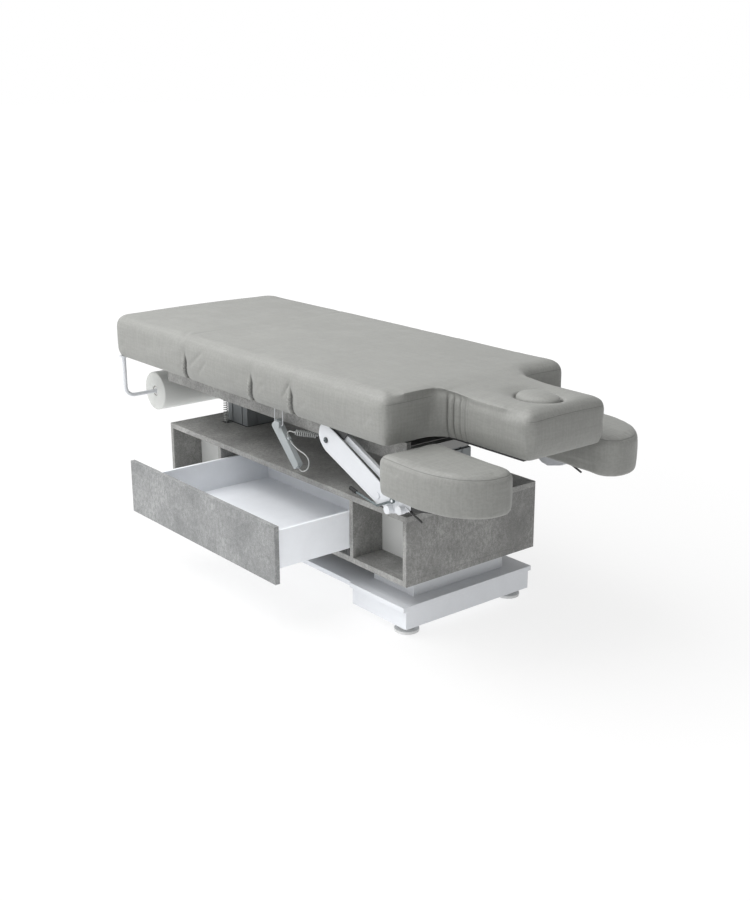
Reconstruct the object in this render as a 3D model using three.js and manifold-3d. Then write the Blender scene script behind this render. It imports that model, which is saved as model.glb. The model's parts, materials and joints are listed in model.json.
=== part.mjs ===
// Spa bed with a cabinet base: a motorised couch on two lifting columns over a low drawer cabinet.
// Millimetres, +Z up. X runs along the bed with the head at +X, and the drawer opens towards -Y.
// The pieces are laid out about the cabinet's centre on the floor. The last lines move the whole
// group so that the origin is the middle of the footprint box, on the floor.

import * as THREE from 'three';
import * as BufferGeometryUtils from 'three/addons/utils/BufferGeometryUtils.js';
import Module from 'manifold-3d';

const wasm = await Module();
wasm.setup();

// Clearances
const contactGap = 0.3;
const slideGap = 0.5;
const cutOverrun = 5;

// Levelling feet
const footHeight = 30;
const footDiscRadius = 42.5;
const footDiscThickness = 9;
const footCollarRadius = 24;
const footCollarHeight = 6;
const footStemRadius = 8;
const footInsetX = 52.5;
const footInsetY = 48;

// Cabinet
const cabinetHalfLength = 734;
const cabinetHalfWidth = 293;
const cabinetBottomThickness = 20;
const cabinetTopThickness = 20;
const cabinetInnerHeight = 202;
const boardThickness = 18;
const headShelfLength = 295;
const footShelfLength = 372;
const shelfBackY = -155;
const shelfBackThickness = 10;
const cableSlotHalfWidth = 20;

// Base: a foot box at each end, a deck over both and a riser under each column, all drawn in
// from the cabinet's sides and ends
const footBoxInset = 11.5;
const footBoxLength = 283.5;
const footBoxSideInset = 10;
const footBoxHeight = 63;
const deckThickness = 18;
const deckOverhang = 1.5;
const deckSideReach = 2;
const bridgeSideInset = 7;
const riserBack = 95;
const riserFront = 115;
const riserSideInset = 88;
const riserHeight = 75;

// Drawer, drawn open as it is stored
const drawerOpen = 292;
const drawerFrontLeftReach = 141;
const drawerFrontRightReach = 4;
const drawerFrontBottom = 184;
const drawerFrontHeight = 200;
const drawerBoxSpare = 76;
const drawerBoxGap = 3;
const drawerWall = 13;
const drawerBoxBottom = 235;
const drawerBoxHeight = 131;
const drawerFloorLift = 8;
const drawerFloorThickness = 10;
const runnerWidth = 14;
const runnerSpare = 30;

// Lifting columns, three telescoping stages each
const columnInset = 179;
const outerStageX = 150;
const outerStageY = 184;
const stageWall = 5;
const outerStageHeight = 218;
const outerFlangeThickness = 8;
const outerFlangeMargin = 18;
const middleStageBottom = 270;
const middleStageTop = 565;
const innerStageBottom = 330;
const grooveWidth = 8;
const grooveDepth = 2.5;
const columnHoleGap = 2;
const spindleRadius = 10;
const spindleTop = 505;
const spindleFootRadius = 22;
const spindleFootHeight = 25;

// Control box on the cabinet's back panel
const controlBoxLength = 230;
const controlBoxDepth = 48;
const controlBoxHeight = 120;
const controlBoxLift = 40;
const inletWidth = 48;
const inletHeight = 28;
const inletDepth = 14;

// Top frame
const mattressBottom = 681;
const sideBoardBottom = 602;
const sideBoardShoulderInset = 22;
const sideBoardInset = 107;
const railHeight = 40;
const railWidth = 30;
const railLift = 3;
const railInset = 19;
const headPlateHalfLength = 90;
const headPlateThickness = 8;
const headPlateBottom = 620;
const crossTubeWidth = 30;
const crossTubeHeight = 30;
const legCrossX = -255;
const backCrossX = 405;
const endCrossInset = 30;

// Hinges
const hingeDrop = 13;
const shaftRadius = 8;
const eyeRadius = 12;
const eyeThickness = 12;
const seatWebThickness = 10;
const eyeY = 120;
const supportPlateThickness = 6;
const supportPlateHalfWidth = 235;
const plateHingeGap = 18;
const lugLength = 45;
const leverLength = 48;
const leverY = 70;
const kneeX = -420;
const thighHingeX = 20;
const backHingeX = 260;
const backFoldAngle = 60;
const thighFoldAngle = 25;
const foldSpareAngle = 0.5;

// Mattress
const mattressThickness = 168;
const mattressHalfWidth = 400;
const footEnd = 997;
const shoulderX = 756;
const headEnd = 1145;
const headHalfWidth = 174;
const footCornerRadius = 66;
const shoulderCornerRadius = 30;
const neckFilletRadius = 62;
const headCornerRadius = 30;
const topEdgeRadius = 40;
const crownHeight = 5;
const headDrop = 14;
const headDropLength = 190;
const bottomTuck = 13;
const bottomTuckHeight = 14;
const sideBulgeHeight = 52;
const dartDepth = 9;
const dartHalfLength = 16;
const faceHoleX = 1010;
const faceHoleLength = 166;
const faceHoleWidth = 124;
const plugThickness = 96;
const plugProud = 4;
const plugCrown = 12;

// Paper roll and its holder under the foot end
const rollX = -940;
const rollZ = 512;
const rollRadius = 80.5;
const rollHalfLength = 240;
const rollBoreRadius = 19;
const rollHubDepth = 12;
const holderRadius = 8;
const holderLegY = -376;
const holderBend = 38;
const holderFlangeRadius = 20;
const holderFlangeThickness = 5;
const holderTailLength = 14;
const holderCapRadius = 13;

// Actuators of the back and of the leg part
const actuatorRadius = 18;
const actuatorRodRadius = 8;
const motorLength = 90;
const motorRadius = 17;
const backActuatorEnd = 110;
const legActuatorEnd = 140;
const actuatorZ = 620;
const rodEngagement = 58;
const forkTine = 5;
const forkHalfHeight = 12;
const forkBackLength = 10;
const forkPlay = 7;

// Armrests
const armLength = 295;
const armPivotX = 405;
const armPivotZ = 623.5;
const nearArmAngle = 24.5;
const farArmAngle = 20.5;
const linkOffsetX = 70;
const linkOffsetZ = 30;
const armPlateY = 361;
const armPlateThickness = 4;
const armLowerSide = 36;
const armLowerSideEnd = 29;
const armUpperSide = 52;
const armUpperSideEnd = 44;
const armTailLength = 47;
const armTailRise = 18;
const armCutStart = 9;
const armCutLength = 46;
const armCutRise = 24;
const armFoldDepth = 18;
const armFoldThickness = 3;
const armFoldInset = 62;
const pivotPlateY = 352;
const pivotPlateThickness = 4;
const linkY = 345;
const linkThickness = 12;
const linkHalfWidth = 12;
const armPinRadius = 6;
const armPinHeadRadius = 10;
const armPinHeadThickness = 3;
const linkPinRadius = 5;
const linkPinHeadRadius = 8;
const bracketBack = 25;
const bracketFront = 112;
const carrierLength = 330;
const carrierTopRise = 37.5;
const carrierFlangeThickness = 6;
const carrierFlangeWidth = 95;
const carrierFlangeStart = 102;
const carrierLowEdge = 47;
const carrierTailRise = 22;
const lobeRadius = 14.5;
const lobeReach = 20;
const lobeLowX = 55.5;
const lobeLowZ = 31;
const lobeHighX = 114;
const lobeHighZ = 18;
const guideRodRadius = 3.5;
const guideRodStartX = 128;
const guideRodStartZ = 8;
const guideRodEndX = 205;
const guideRodEndZ = 36;
const leverPivotX = 81.5;
const leverPivotZ = 5.3;
const leverRodRadius = 4;
const leverHubRadius = 9;
const leverRodY = 368.5;
const leverBendX = 6.5;
const leverBendZ = 30.7;
const leverGripX = 102.5;
const leverGripZ = 12.7;
const leverTipX = 132.5;
const leverTipZ = 6.7;
const leverGripRadius = 6;

// Armrest pads
const padStart = 84.5;
const padLength = 384;
const padInnerY = 193;
const padOuterY = 438;
const padThickness = 127;
const padCornerRadius = 28;
const padInnerCornerRadius = 46;
const padHeadCornerRadius = 68;
const padBowLength = 250;
const padBowWidth = 165;
const padSeamDrop = 26;
const padTuck = 12;
const padCrown = 7;

// Handset with three rocker keys, on a wire hook
const hookX = 111.5;
const hookHalfWidth = 23.5;
const hookY = -346;
const hookWireRadius = 2;
const hookBottomZ = 612;
const hookPlateY = -300;
const hookPlateThickness = 4;
const hookPlateMargin = 9;
const handsetX = 140.5;
const handsetY = -330;
const handsetZ = 540;
const handsetLean = 43.3;
const handsetHalfWidth = 22;
const handsetHalfThickness = 10;
const handsetTop = 100;
const handsetBottom = 90;
const handsetWaist = 17;
const handsetRound = 9;
const glandRadius = 5;
const glandHeight = 5;
const clipHalfWidth = 16;
const clipTopRise = 10;
const clipBottomDrop = 12;
const clipWallDepth = 3.6;
const keyHalfWidth = 13;
const keyHalfLength = 11;
const keyPitch = 32;
const keyFirst = 52;
const keyHeight = 3.5;
const keyPocketDepth = 4.5;
const keyTilt = 8;
const keyPinRadius = 1.2;
const cordClipReach = 12;
const cordClipHalfLength = 5;
const cordClipRise = 13;
const cordClipHalfDepth = 5;

// Cables
const cordRadius = 2.25;
const cordSides = 8;
const liftCordRadius = 1.9;
const liftCoilColumnGap = 45;
const liftCoilY = -114;
const liftCoilRadius = 7.8;
const liftCoilTurns = 20;
const liftCoilEndLength = 9;
const handsetCoilRadius = 9.2;
const handsetCoilTurns = 12;
const curlSteps = 8;
const curlSides = 5;
const socketHalfWidth = 12;
const socketHeight = 14;
const socketX = 236;
const socketY = -252;

// Route of the handset's cord from its gland, through the clip, to the start of its curls
const handsetCordRoute = [
  [205.9, -330, 470.6], [209, -330, 467.3], [214.5, -330, 464.4], [222.5, -330, 463.8],
  [232, -330, 466.5], [245, -330, 473], [256, -330, 483], [262.5, -330, 496], [263, -330, 509],
  [256, -330, 520], [243, -330, 528], [228, -330, 532], [213, -330, 534.5], [199, -330, 538],
  [187, -330, 542], [177, -330, 546.2], [168.5, -330, 550], [160.4, -330, 554.7],
  [154.9, -330, 560.5], [149.4, -330, 566.3], [143.9, -330, 572.1], [139.8, -330, 577],
  [139.8, -330, 583], [144, -330, 588.8], [151.5, -330, 592.6], [160, -330, 594.3],
  [168, -330, 594.5], [174.9, -330, 594.5],
];
const handsetCoilStart = [180.5, -330, 594.5];
const handsetCoilEnd = [221, -259, 580];

// Places that follow from the sizes above
const columnX = cabinetHalfLength - columnInset;
const liftCoilX = -columnX - liftCoilColumnGap;
const footBoxOuter = cabinetHalfLength - footBoxInset;
const footBoxInner = footBoxOuter - footBoxLength;
const footBoxHalfWidth = cabinetHalfWidth - footBoxSideInset;
const deckHalfWidth = cabinetHalfWidth + deckSideReach;
const bridgeHalfWidth = cabinetHalfWidth - bridgeSideInset;
const riserInner = columnX - riserBack;
const riserOuter = columnX + riserFront;
const riserHalfWidth = cabinetHalfWidth - riserSideInset;
const rightDividerX = cabinetHalfLength - headShelfLength;
const leftDividerX = -cabinetHalfLength + footShelfLength;
const drawerFrontLeft = leftDividerX - drawerFrontLeftReach;
const drawerFrontRight = rightDividerX + drawerFrontRightReach;
const drawerBoxDepth = 2 * cabinetHalfWidth - drawerBoxSpare;
const runnerLength = drawerBoxDepth - runnerSpare;
const footBoxBottom = footHeight;
const deckBottom = footBoxBottom + footBoxHeight;
const riserBottom = deckBottom + deckThickness;
const cabinetBottom = riserBottom + riserHeight;
const cabinetFloor = cabinetBottom + cabinetBottomThickness;
const cabinetCeiling = cabinetFloor + cabinetInnerHeight;
const cabinetTop = cabinetCeiling + cabinetTopThickness;
const cabinetBackInner = cabinetHalfWidth - boardThickness;
const drawerFrontOutside = -cabinetHalfWidth - boardThickness - drawerOpen;
const drawerFrontInside = drawerFrontOutside + boardThickness;
const drawerBoxLeft = leftDividerX + drawerBoxGap;
const drawerBoxRight = rightDividerX - drawerBoxGap;
const drawerBoxBack = drawerFrontInside + drawerBoxDepth;
const drawerBoxTop = drawerBoxBottom + drawerBoxHeight;
const middleStageX = outerStageX - 2 * (stageWall + slideGap);
const middleStageY = outerStageY - 2 * (stageWall + slideGap);
const innerStageX = middleStageX - 2 * (stageWall + slideGap);
const innerStageY = middleStageY - 2 * (stageWall + slideGap);
const hingeZ = mattressBottom - hingeDrop;
const mattressTop = mattressBottom + mattressThickness;
const supportPlateBottom = mattressBottom - supportPlateThickness;
const sideBoardTop = supportPlateBottom - slideGap;
const sideBoardHalfLength = shoulderX - sideBoardShoulderInset;
const sideBoardOuter = mattressHalfWidth - sideBoardInset;
const sideBoardInner = sideBoardOuter - boardThickness;
const railOuter = sideBoardInner;
const railInner = railOuter - railWidth;
const railBottom = sideBoardBottom + railLift;
const railTop = railBottom + railHeight;
const padRise = carrierTopRise + carrierFlangeThickness + contactGap;

const model = new THREE.Group();

const finish = {
  concrete: new THREE.MeshStandardMaterial({ color: 0x8b8985, roughness: 0.75, metalness: 0 }),
  white: new THREE.MeshStandardMaterial({ color: 0xe3e6ea, roughness: 0.45, metalness: 0 }),
  whiteSteel: new THREE.MeshStandardMaterial({ color: 0xdde1e6, roughness: 0.4, metalness: 0.1 }),
  aluminium: new THREE.MeshStandardMaterial({ color: 0x8f979b, roughness: 0.4, metalness: 0.9 }),
  steel: new THREE.MeshStandardMaterial({ color: 0xb4b8ba, roughness: 0.3, metalness: 1 }),
  frameSteel: new THREE.MeshStandardMaterial({ color: 0x6c7072, roughness: 0.5, metalness: 0.4 }),
  upholstery: new THREE.MeshStandardMaterial({ color: 0x9a9b97, roughness: 0.6, metalness: 0 }),
  black: new THREE.MeshStandardMaterial({ color: 0x1c1d1f, roughness: 0.5, metalness: 0 }),
  handset: new THREE.MeshStandardMaterial({ color: 0xb4bdc0, roughness: 0.5, metalness: 0 }),
  key: new THREE.MeshStandardMaterial({ color: 0x66717a, roughness: 0.5, metalness: 0 }),
  cord: new THREE.MeshStandardMaterial({ color: 0xb9bfba, roughness: 0.5, metalness: 0 }),
  paper: new THREE.MeshStandardMaterial({ color: 0xeceeec, roughness: 0.9, metalness: 0 }),
};

// Adds one named piece to a group
function addPiece(name, material, geometry, parent = model) {
  const mesh = new THREE.Mesh(geometry, material);
  mesh.name = name;
  parent.add(mesh);
  return mesh;
}

// Box between two corners, each given as a range on its axis
function block([x0, x1], [y0, y1], [z0, z1]) {
  const geometry = new THREE.BoxGeometry(x1 - x0, y1 - y0, z1 - z0);
  return geometry.translate((x0 + x1) / 2, (y0 + y1) / 2, (z0 + z1) / 2);
}

// Cylinder along Y between two places
function rodY(radius, x, [y0, y1], z, sides = 12) {
  const geometry = new THREE.CylinderGeometry(radius, radius, y1 - y0, sides);
  return geometry.translate(x, (y0 + y1) / 2, z);
}

// Cylinder along X between two places
function rodX(radius, [x0, x1], y, z, sides = 12) {
  const geometry = new THREE.CylinderGeometry(radius, radius, x1 - x0, sides);
  return geometry.rotateZ(Math.PI / 2).translate((x0 + x1) / 2, y, z);
}

// Cylinder between any two points
function rodBetween(radius, start, end, sides = 8) {
  const from = new THREE.Vector3(...start);
  const along = new THREE.Vector3(...end).sub(from);
  const geometry = new THREE.CylinderGeometry(radius, radius, along.length(), sides);
  const turn = new THREE.Quaternion().setFromUnitVectors(
    new THREE.Vector3(0, 1, 0), along.clone().normalize());
  geometry.applyQuaternion(turn);
  const middle = from.addScaledVector(along, 1 / 2);
  return geometry.translate(middle.x, middle.y, middle.z);
}

// Turned piece about Z from points of radius and height
function turned(profile, x, y, sides = 24) {
  const points = profile.map(([radius, height]) => new THREE.Vector2(radius, height));
  const geometry = new THREE.LatheGeometry(points, sides);
  return geometry.rotateX(Math.PI / 2).translate(x, y, 0);
}

// Flat plate cut to an outline in the XZ plane, between two places along Y
function plateXZ(shape, [y0, y1], curveSegments = 6) {
  const geometry = new THREE.ExtrudeGeometry(shape, {
    depth: y1 - y0, bevelEnabled: false, curveSegments, steps: 1,
  });
  return geometry.rotateX(Math.PI / 2).translate(0, y1, 0);
}

function shapeFrom(points) {
  return new THREE.Shape(points.map(([x, y]) => new THREE.Vector2(x, y)));
}

function capsuleShape([x0, z0], [x1, z1], radius) {
  const shape = new THREE.Shape();
  const along = Math.atan2(z1 - z0, x1 - x0);
  shape.absarc(x0, z0, radius, along + Math.PI / 2, along - Math.PI / 2, false);
  shape.absarc(x1, z1, radius, along - Math.PI / 2, along + Math.PI / 2, false);
  return shape;
}

// Solid for cutting and joining
function solid(geometry) {
  const clean = geometry.clone();
  clean.deleteAttribute('normal');
  clean.deleteAttribute('uv');
  const merged = BufferGeometryUtils.mergeVertices(clean);
  return new wasm.Manifold(new wasm.Mesh({
    numProp: 3,
    vertProperties: new Float32Array(merged.attributes.position.array),
    triVerts: new Uint32Array(merged.index.array),
  }));
}

function geometryOf(body) {
  const mesh = body.getMesh();
  const geometry = new THREE.BufferGeometry();
  geometry.setAttribute('position', new THREE.BufferAttribute(mesh.vertProperties, 3));
  geometry.setIndex(new THREE.BufferAttribute(mesh.triVerts, 1));
  return geometry;
}

function join(...geometries) {
  return geometryOf(geometries.map(solid).reduce((whole, next) => whole.add(next)));
}

function cut(geometry, ...tools) {
  return geometryOf(tools.map(solid).reduce((whole, tool) => whole.subtract(tool), solid(geometry)));
}

// Mirror image across the YZ or XZ plane, with the faces kept outwards
function mirrored(geometry, axis) {
  const copy = geometry.index ? geometry.toNonIndexed() : geometry.clone();
  copy.deleteAttribute('normal');
  copy.deleteAttribute('uv');
  copy.scale(axis === 'x' ? -1 : 1, axis === 'y' ? -1 : 1, 1);
  const place = copy.attributes.position;
  for (let i = 0; i < place.count; i += 3) {
    const second = new THREE.Vector3().fromBufferAttribute(place, i + 1);
    const third = new THREE.Vector3().fromBufferAttribute(place, i + 2);
    place.setXYZ(i + 1, third.x, third.y, third.z);
    place.setXYZ(i + 2, second.x, second.y, second.z);
  }
  return copy;
}

// Adds the same piece at the head end and, mirrored, at the foot end
function addAtBothEnds(name, material, geometry) {
  addPiece(`${name}_head`, material, geometry);
  addPiece(`${name}_foot`, material, mirrored(geometry, 'x'));
}

// Closed skin over a row of rings with as many points each, with a fan at both ends
function loft(rings) {
  const count = rings[0].length;
  const points = rings.flat();
  const faces = [];
  for (let ring = 0; ring + 1 < rings.length; ring += 1) {
    for (let i = 0; i < count; i += 1) {
      const next = (i + 1) % count;
      const a = ring * count + i;
      const b = ring * count + next;
      const c = (ring + 1) * count + next;
      const d = (ring + 1) * count + i;
      faces.push(a, b, c, a, c, d);
    }
  }
  for (const [ring, flip] of [[0, true], [rings.length - 1, false]]) {
    const centre = new THREE.Vector3();
    rings[ring].forEach((point) => centre.addScaledVector(point, 1 / count));
    const hub = points.length;
    points.push(centre);
    for (let i = 0; i < count; i += 1) {
      const a = ring * count + i;
      const b = ring * count + (i + 1) % count;
      faces.push(...(flip ? [b, a, hub] : [a, b, hub]));
    }
  }
  const geometry = new THREE.BufferGeometry().setFromPoints(points);
  geometry.setIndex(faces);
  return geometry;
}

// Levelling feet, one under each corner of the base
function buildFeet() {
  const discTop = footDiscThickness;
  const collarTop = discTop + footCollarHeight;
  const foot = turned([
    [0, 0], [footDiscRadius, 0], [footDiscRadius, discTop], [footCollarRadius, discTop],
    [footCollarRadius, collarTop], [footStemRadius, collarTop],
    [footStemRadius, footHeight], [0, footHeight],
  ], footBoxOuter - footInsetX, footBoxHalfWidth - footInsetY, 16);
  addAtBothEnds('levelling_foot_far', finish.white, foot);
  addAtBothEnds('levelling_foot_near', finish.white, mirrored(foot, 'y'));
}

// Box at one end of the base with the riser that stands above it
function baseEnd(side) {
  const range = (a, b) => (side > 0 ? [a, b] : [-b, -a]);
  return [
    block(range(footBoxInner, footBoxOuter), [-footBoxHalfWidth, footBoxHalfWidth],
      [footBoxBottom, deckBottom]),
    block(range(riserInner, riserOuter), [-riserHalfWidth, riserHalfWidth],
      [riserBottom, cabinetBottom]),
  ];
}

// Welded base: foot boxes, deck and risers
function buildBase() {
  const deckEnd = footBoxOuter + deckOverhang;
  const deckInner = footBoxInner - deckOverhang;
  const deckOutline = shapeFrom([
    [-deckEnd, -deckHalfWidth], [-deckInner, -deckHalfWidth], [-deckInner, -bridgeHalfWidth],
    [deckInner, -bridgeHalfWidth], [deckInner, -deckHalfWidth], [deckEnd, -deckHalfWidth],
    [deckEnd, deckHalfWidth], [deckInner, deckHalfWidth], [deckInner, bridgeHalfWidth],
    [-deckInner, bridgeHalfWidth], [-deckInner, deckHalfWidth], [-deckEnd, deckHalfWidth],
  ]);
  const deck = new THREE.ExtrudeGeometry(deckOutline, { depth: deckThickness, bevelEnabled: false });
  addPiece('base_frame', finish.white,
    join(deck.translate(0, 0, deckBottom), ...baseEnd(1), ...baseEnd(-1)));
}

function buildCabinet() {
  const full = [-cabinetHalfLength, cabinetHalfLength];
  const depth = [-cabinetHalfWidth, cabinetHalfWidth];
  const inside = [cabinetFloor, cabinetCeiling];
  const behindFront = [-cabinetHalfWidth, cabinetBackInner];
  addPiece('cabinet_bottom', finish.concrete,
    block(full, depth, [cabinetBottom, cabinetFloor]));
  const holeX = outerStageX / 2 + columnHoleGap;
  const holeY = outerStageY / 2 + columnHoleGap;
  const slotReach = -liftCoilY + liftCoilRadius + liftCordRadius + columnHoleGap;
  const through = [cabinetCeiling - cutOverrun, cabinetTop + cutOverrun];
  addPiece('cabinet_top', finish.concrete, cut(
    block(full, depth, [cabinetCeiling, cabinetTop]),
    block([columnX - holeX, columnX + holeX], [-holeY, holeY], through),
    block([-columnX - holeX, -columnX + holeX], [-holeY, holeY], through),
    block([liftCoilX - cableSlotHalfWidth, liftCoilX + cableSlotHalfWidth],
      [-slotReach, -holeY + cutOverrun], through)));
  const end = block([cabinetHalfLength - boardThickness, cabinetHalfLength], behindFront, inside);
  addAtBothEnds('cabinet_end', finish.concrete, end);
  const shelfY = [shelfBackY - shelfBackThickness, shelfBackY];
  const endInner = cabinetHalfLength - boardThickness;
  const halfBoard = boardThickness / 2;
  addPiece('cabinet_divider_head', finish.concrete, join(
    block([rightDividerX, rightDividerX + boardThickness], behindFront, inside),
    block([rightDividerX + halfBoard, endInner], shelfY, inside)));
  addPiece('cabinet_divider_foot', finish.concrete, join(
    block([leftDividerX - boardThickness, leftDividerX], behindFront, inside),
    block([-endInner, leftDividerX - halfBoard], shelfY, inside)));
  addPiece('cabinet_back_panel', finish.concrete, cut(
    block(full, [cabinetBackInner, cabinetHalfWidth], inside),
    mainsInlet([cabinetBackInner - cutOverrun, cabinetHalfWidth + cutOverrun])));
}

// Window for the mains inlet, between two places along Y
function mainsInlet(depth) {
  const x = controlBoxLength / 2 - inletWidth;
  const z = cabinetFloor + controlBoxLift + controlBoxHeight / 2;
  return block([x - inletWidth / 2, x + inletWidth / 2], depth,
    [z - inletHeight / 2, z + inletHeight / 2]);
}

// Section of a column stage: a rectangular tube with upright grooves on its long sides
function stageSection(width, depth, wall) {
  const halfX = width / 2;
  const halfY = depth / 2;
  const halfGroove = grooveWidth / 2;
  const half = [];
  for (const centre of [-halfX / 2, halfX / 2]) {
    half.push([centre - halfGroove, -halfY], [centre - halfGroove, -halfY + grooveDepth]);
    half.push([centre + halfGroove, -halfY + grooveDepth], [centre + halfGroove, -halfY]);
  }
  const side = [];
  for (const centre of [-halfY / 2, halfY / 2]) {
    side.push([halfX, centre - halfGroove], [halfX - grooveDepth, centre - halfGroove]);
    side.push([halfX - grooveDepth, centre + halfGroove], [halfX, centre + halfGroove]);
  }
  const outline = [
    [-halfX, -halfY], ...half, [halfX, -halfY], ...side,
    [halfX, halfY], ...half.map(([x, y]) => [-x, -y]),
    [-halfX, halfY], ...side.map(([x, y]) => [-x, -y]),
  ];
  const shape = shapeFrom(outline);
  const hollowX = halfX - wall;
  const hollowY = halfY - wall;
  shape.holes.push(shapeFrom([
    [-hollowX, -hollowY], [-hollowX, hollowY], [hollowX, hollowY], [hollowX, -hollowY],
  ]));
  return shape;
}

function stageTube(width, depth, [z0, z1]) {
  const geometry = new THREE.ExtrudeGeometry(stageSection(width, depth, stageWall), {
    depth: z1 - z0, bevelEnabled: false,
  });
  return geometry.translate(columnX, 0, z0);
}

function buildColumns() {
  const flangeX = outerStageX / 2 + outerFlangeMargin;
  const flangeY = outerStageY / 2 + outerFlangeMargin;
  const flangeTop = cabinetFloor + outerFlangeThickness;
  const flange = block([columnX - flangeX, columnX + flangeX], [-flangeY, flangeY],
    [cabinetFloor, flangeTop]);
  const outerTop = cabinetFloor + outerStageHeight;
  const seat = flangeTop - slideGap;
  const spindle = turned([
    [0, seat], [spindleFootRadius, seat], [spindleFootRadius, flangeTop + spindleFootHeight],
    [spindleRadius, flangeTop + spindleFootHeight], [spindleRadius, spindleTop], [0, spindleTop],
  ], columnX, 0, 12);
  addAtBothEnds('column_outer_tube', finish.aluminium,
    join(flange, stageTube(outerStageX, outerStageY, [seat, outerTop]), spindle));
  addAtBothEnds('column_middle_tube', finish.aluminium,
    stageTube(middleStageX, middleStageY, [middleStageBottom, middleStageTop]));
  addAtBothEnds('column_inner_tube', finish.aluminium,
    stageTube(innerStageX, innerStageY, [innerStageBottom, headPlateBottom]));
}

// Control box on the back panel, with its mains inlet behind the panel's window
function buildControlBox() {
  const z0 = cabinetFloor + controlBoxLift;
  const box = block([-controlBoxLength / 2, controlBoxLength / 2],
    [cabinetBackInner - controlBoxDepth, cabinetBackInner], [z0, z0 + controlBoxHeight]);
  addPiece('control_box', finish.black,
    cut(box, mainsInlet([cabinetBackInner - inletDepth, cabinetBackInner + cutOverrun])));
}

function buildDrawer() {
  addPiece('drawer_front', finish.concrete, block([drawerFrontLeft, drawerFrontRight],
    [drawerFrontOutside, drawerFrontInside],
    [drawerFrontBottom, drawerFrontBottom + drawerFrontHeight]));
  const outside = block([drawerBoxLeft, drawerBoxRight], [drawerFrontInside, drawerBoxBack],
    [drawerBoxBottom, drawerBoxTop]);
  const innerX = [drawerBoxLeft + drawerWall, drawerBoxRight - drawerWall];
  const innerY = [drawerFrontInside - cutOverrun, drawerBoxBack - drawerWall];
  const floorBottom = drawerBoxBottom + drawerFloorLift;
  const floorTop = floorBottom + drawerFloorThickness;
  addPiece('drawer_box', finish.white, cut(outside,
    block(innerX, innerY, [floorTop, drawerBoxTop + cutOverrun]),
    block(innerX, innerY, [drawerBoxBottom - cutOverrun, floorBottom])));
  const height = [cabinetFloor, drawerBoxBottom - slideGap];
  const runnerY = [-cabinetHalfWidth, -cabinetHalfWidth + runnerLength];
  addPiece('drawer_runners', finish.steel, join(
    block([drawerBoxLeft, drawerBoxLeft + runnerWidth], runnerY, height),
    block([drawerBoxRight - runnerWidth, drawerBoxRight], runnerY, height),
    block([drawerBoxLeft, drawerBoxRight], [runnerY[1] - runnerWidth, runnerY[1]], height)));
}

function buildTopFrame() {
  const boardLength = [-sideBoardHalfLength, sideBoardHalfLength];
  const boardHeight = [sideBoardBottom, sideBoardTop];
  addPiece('side_board_near', finish.concrete,
    block(boardLength, [-sideBoardOuter, -sideBoardInner], boardHeight));
  addPiece('side_board_far', finish.concrete,
    block(boardLength, [sideBoardInner, sideBoardOuter], boardHeight));
  addPiece('subframe', finish.whiteSteel, subframeGeometry());
  addPiece('handset_socket', finish.black, block(
    [socketX - socketHalfWidth, socketX + socketHalfWidth],
    [socketY - socketHalfWidth, socketY + socketHalfWidth],
    [railBottom - socketHeight, railBottom]));
}

// Welded frame: two rails, cross tubes, a head plate on each column, and the seat's webs and
// plate with the two hinge shafts
function subframeGeometry() {
  const railEnd = sideBoardHalfLength - railInset;
  const rail = block([-railEnd, railEnd], [railInner, railOuter], [railBottom, railTop]);
  const weld = slideGap;
  const across = [-railInner - weld, railInner + weld];
  const crossTube = (x) => block([x - crossTubeWidth / 2, x + crossTubeWidth / 2],
    across, [railBottom, railBottom + crossTubeHeight]);
  const headPlate = (x) => block([x - headPlateHalfLength, x + headPlateHalfLength],
    across, [headPlateBottom, headPlateBottom + headPlateThickness]);
  const endCross = railEnd - endCrossInset;
  const web = block([thighHingeX - eyeRadius, backHingeX + eyeRadius],
    [railInner, railInner + seatWebThickness], [railTop - weld, hingeZ + eyeRadius - weld]);
  const seatPlate = block([thighHingeX + plateHingeGap, backHingeX - plateHingeGap],
    [-railInner - seatWebThickness, railInner + seatWebThickness],
    [supportPlateBottom, mattressBottom]);
  const reach = [-sideBoardInner, sideBoardInner];
  return join(rail, mirrored(rail, 'y'), headPlate(columnX), headPlate(-columnX),
    crossTube(legCrossX), crossTube(backCrossX), crossTube(endCross), crossTube(-endCross),
    web, mirrored(web, 'y'), seatPlate,
    rodY(shaftRadius, thighHingeX, reach, hingeZ), rodY(shaftRadius, backHingeX, reach, hingeZ));
}

// Lug with an eye round a shaft, under the end of a support plate that lies on one side of it
function hingeLug(hingeX, side, y) {
  const width = [y - eyeThickness / 2, y + eyeThickness / 2];
  const reach = hingeX + side * lugLength;
  const x = side > 0 ? [hingeX, reach] : [reach, hingeX];
  return join(rodY(eyeRadius, hingeX, width, hingeZ),
    block(x, width, [hingeZ - shaftRadius, supportPlateBottom + slideGap]));
}

function shaftHole(hingeX, y) {
  const reach = eyeThickness / 2 + cutOverrun;
  return rodY(shaftRadius + contactGap, hingeX, [y - reach, y + reach], hingeZ);
}

function pushLever(hingeX, y) {
  const shape = capsuleShape([hingeX, hingeZ], [hingeX, hingeZ - leverLength], eyeRadius);
  return plateXZ(shape, [y - eyeThickness / 2, y + eyeThickness / 2], 4);
}

function supportPlate(x, halfWidth) {
  return block(x, [-halfWidth, halfWidth], [supportPlateBottom, mattressBottom]);
}

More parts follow.
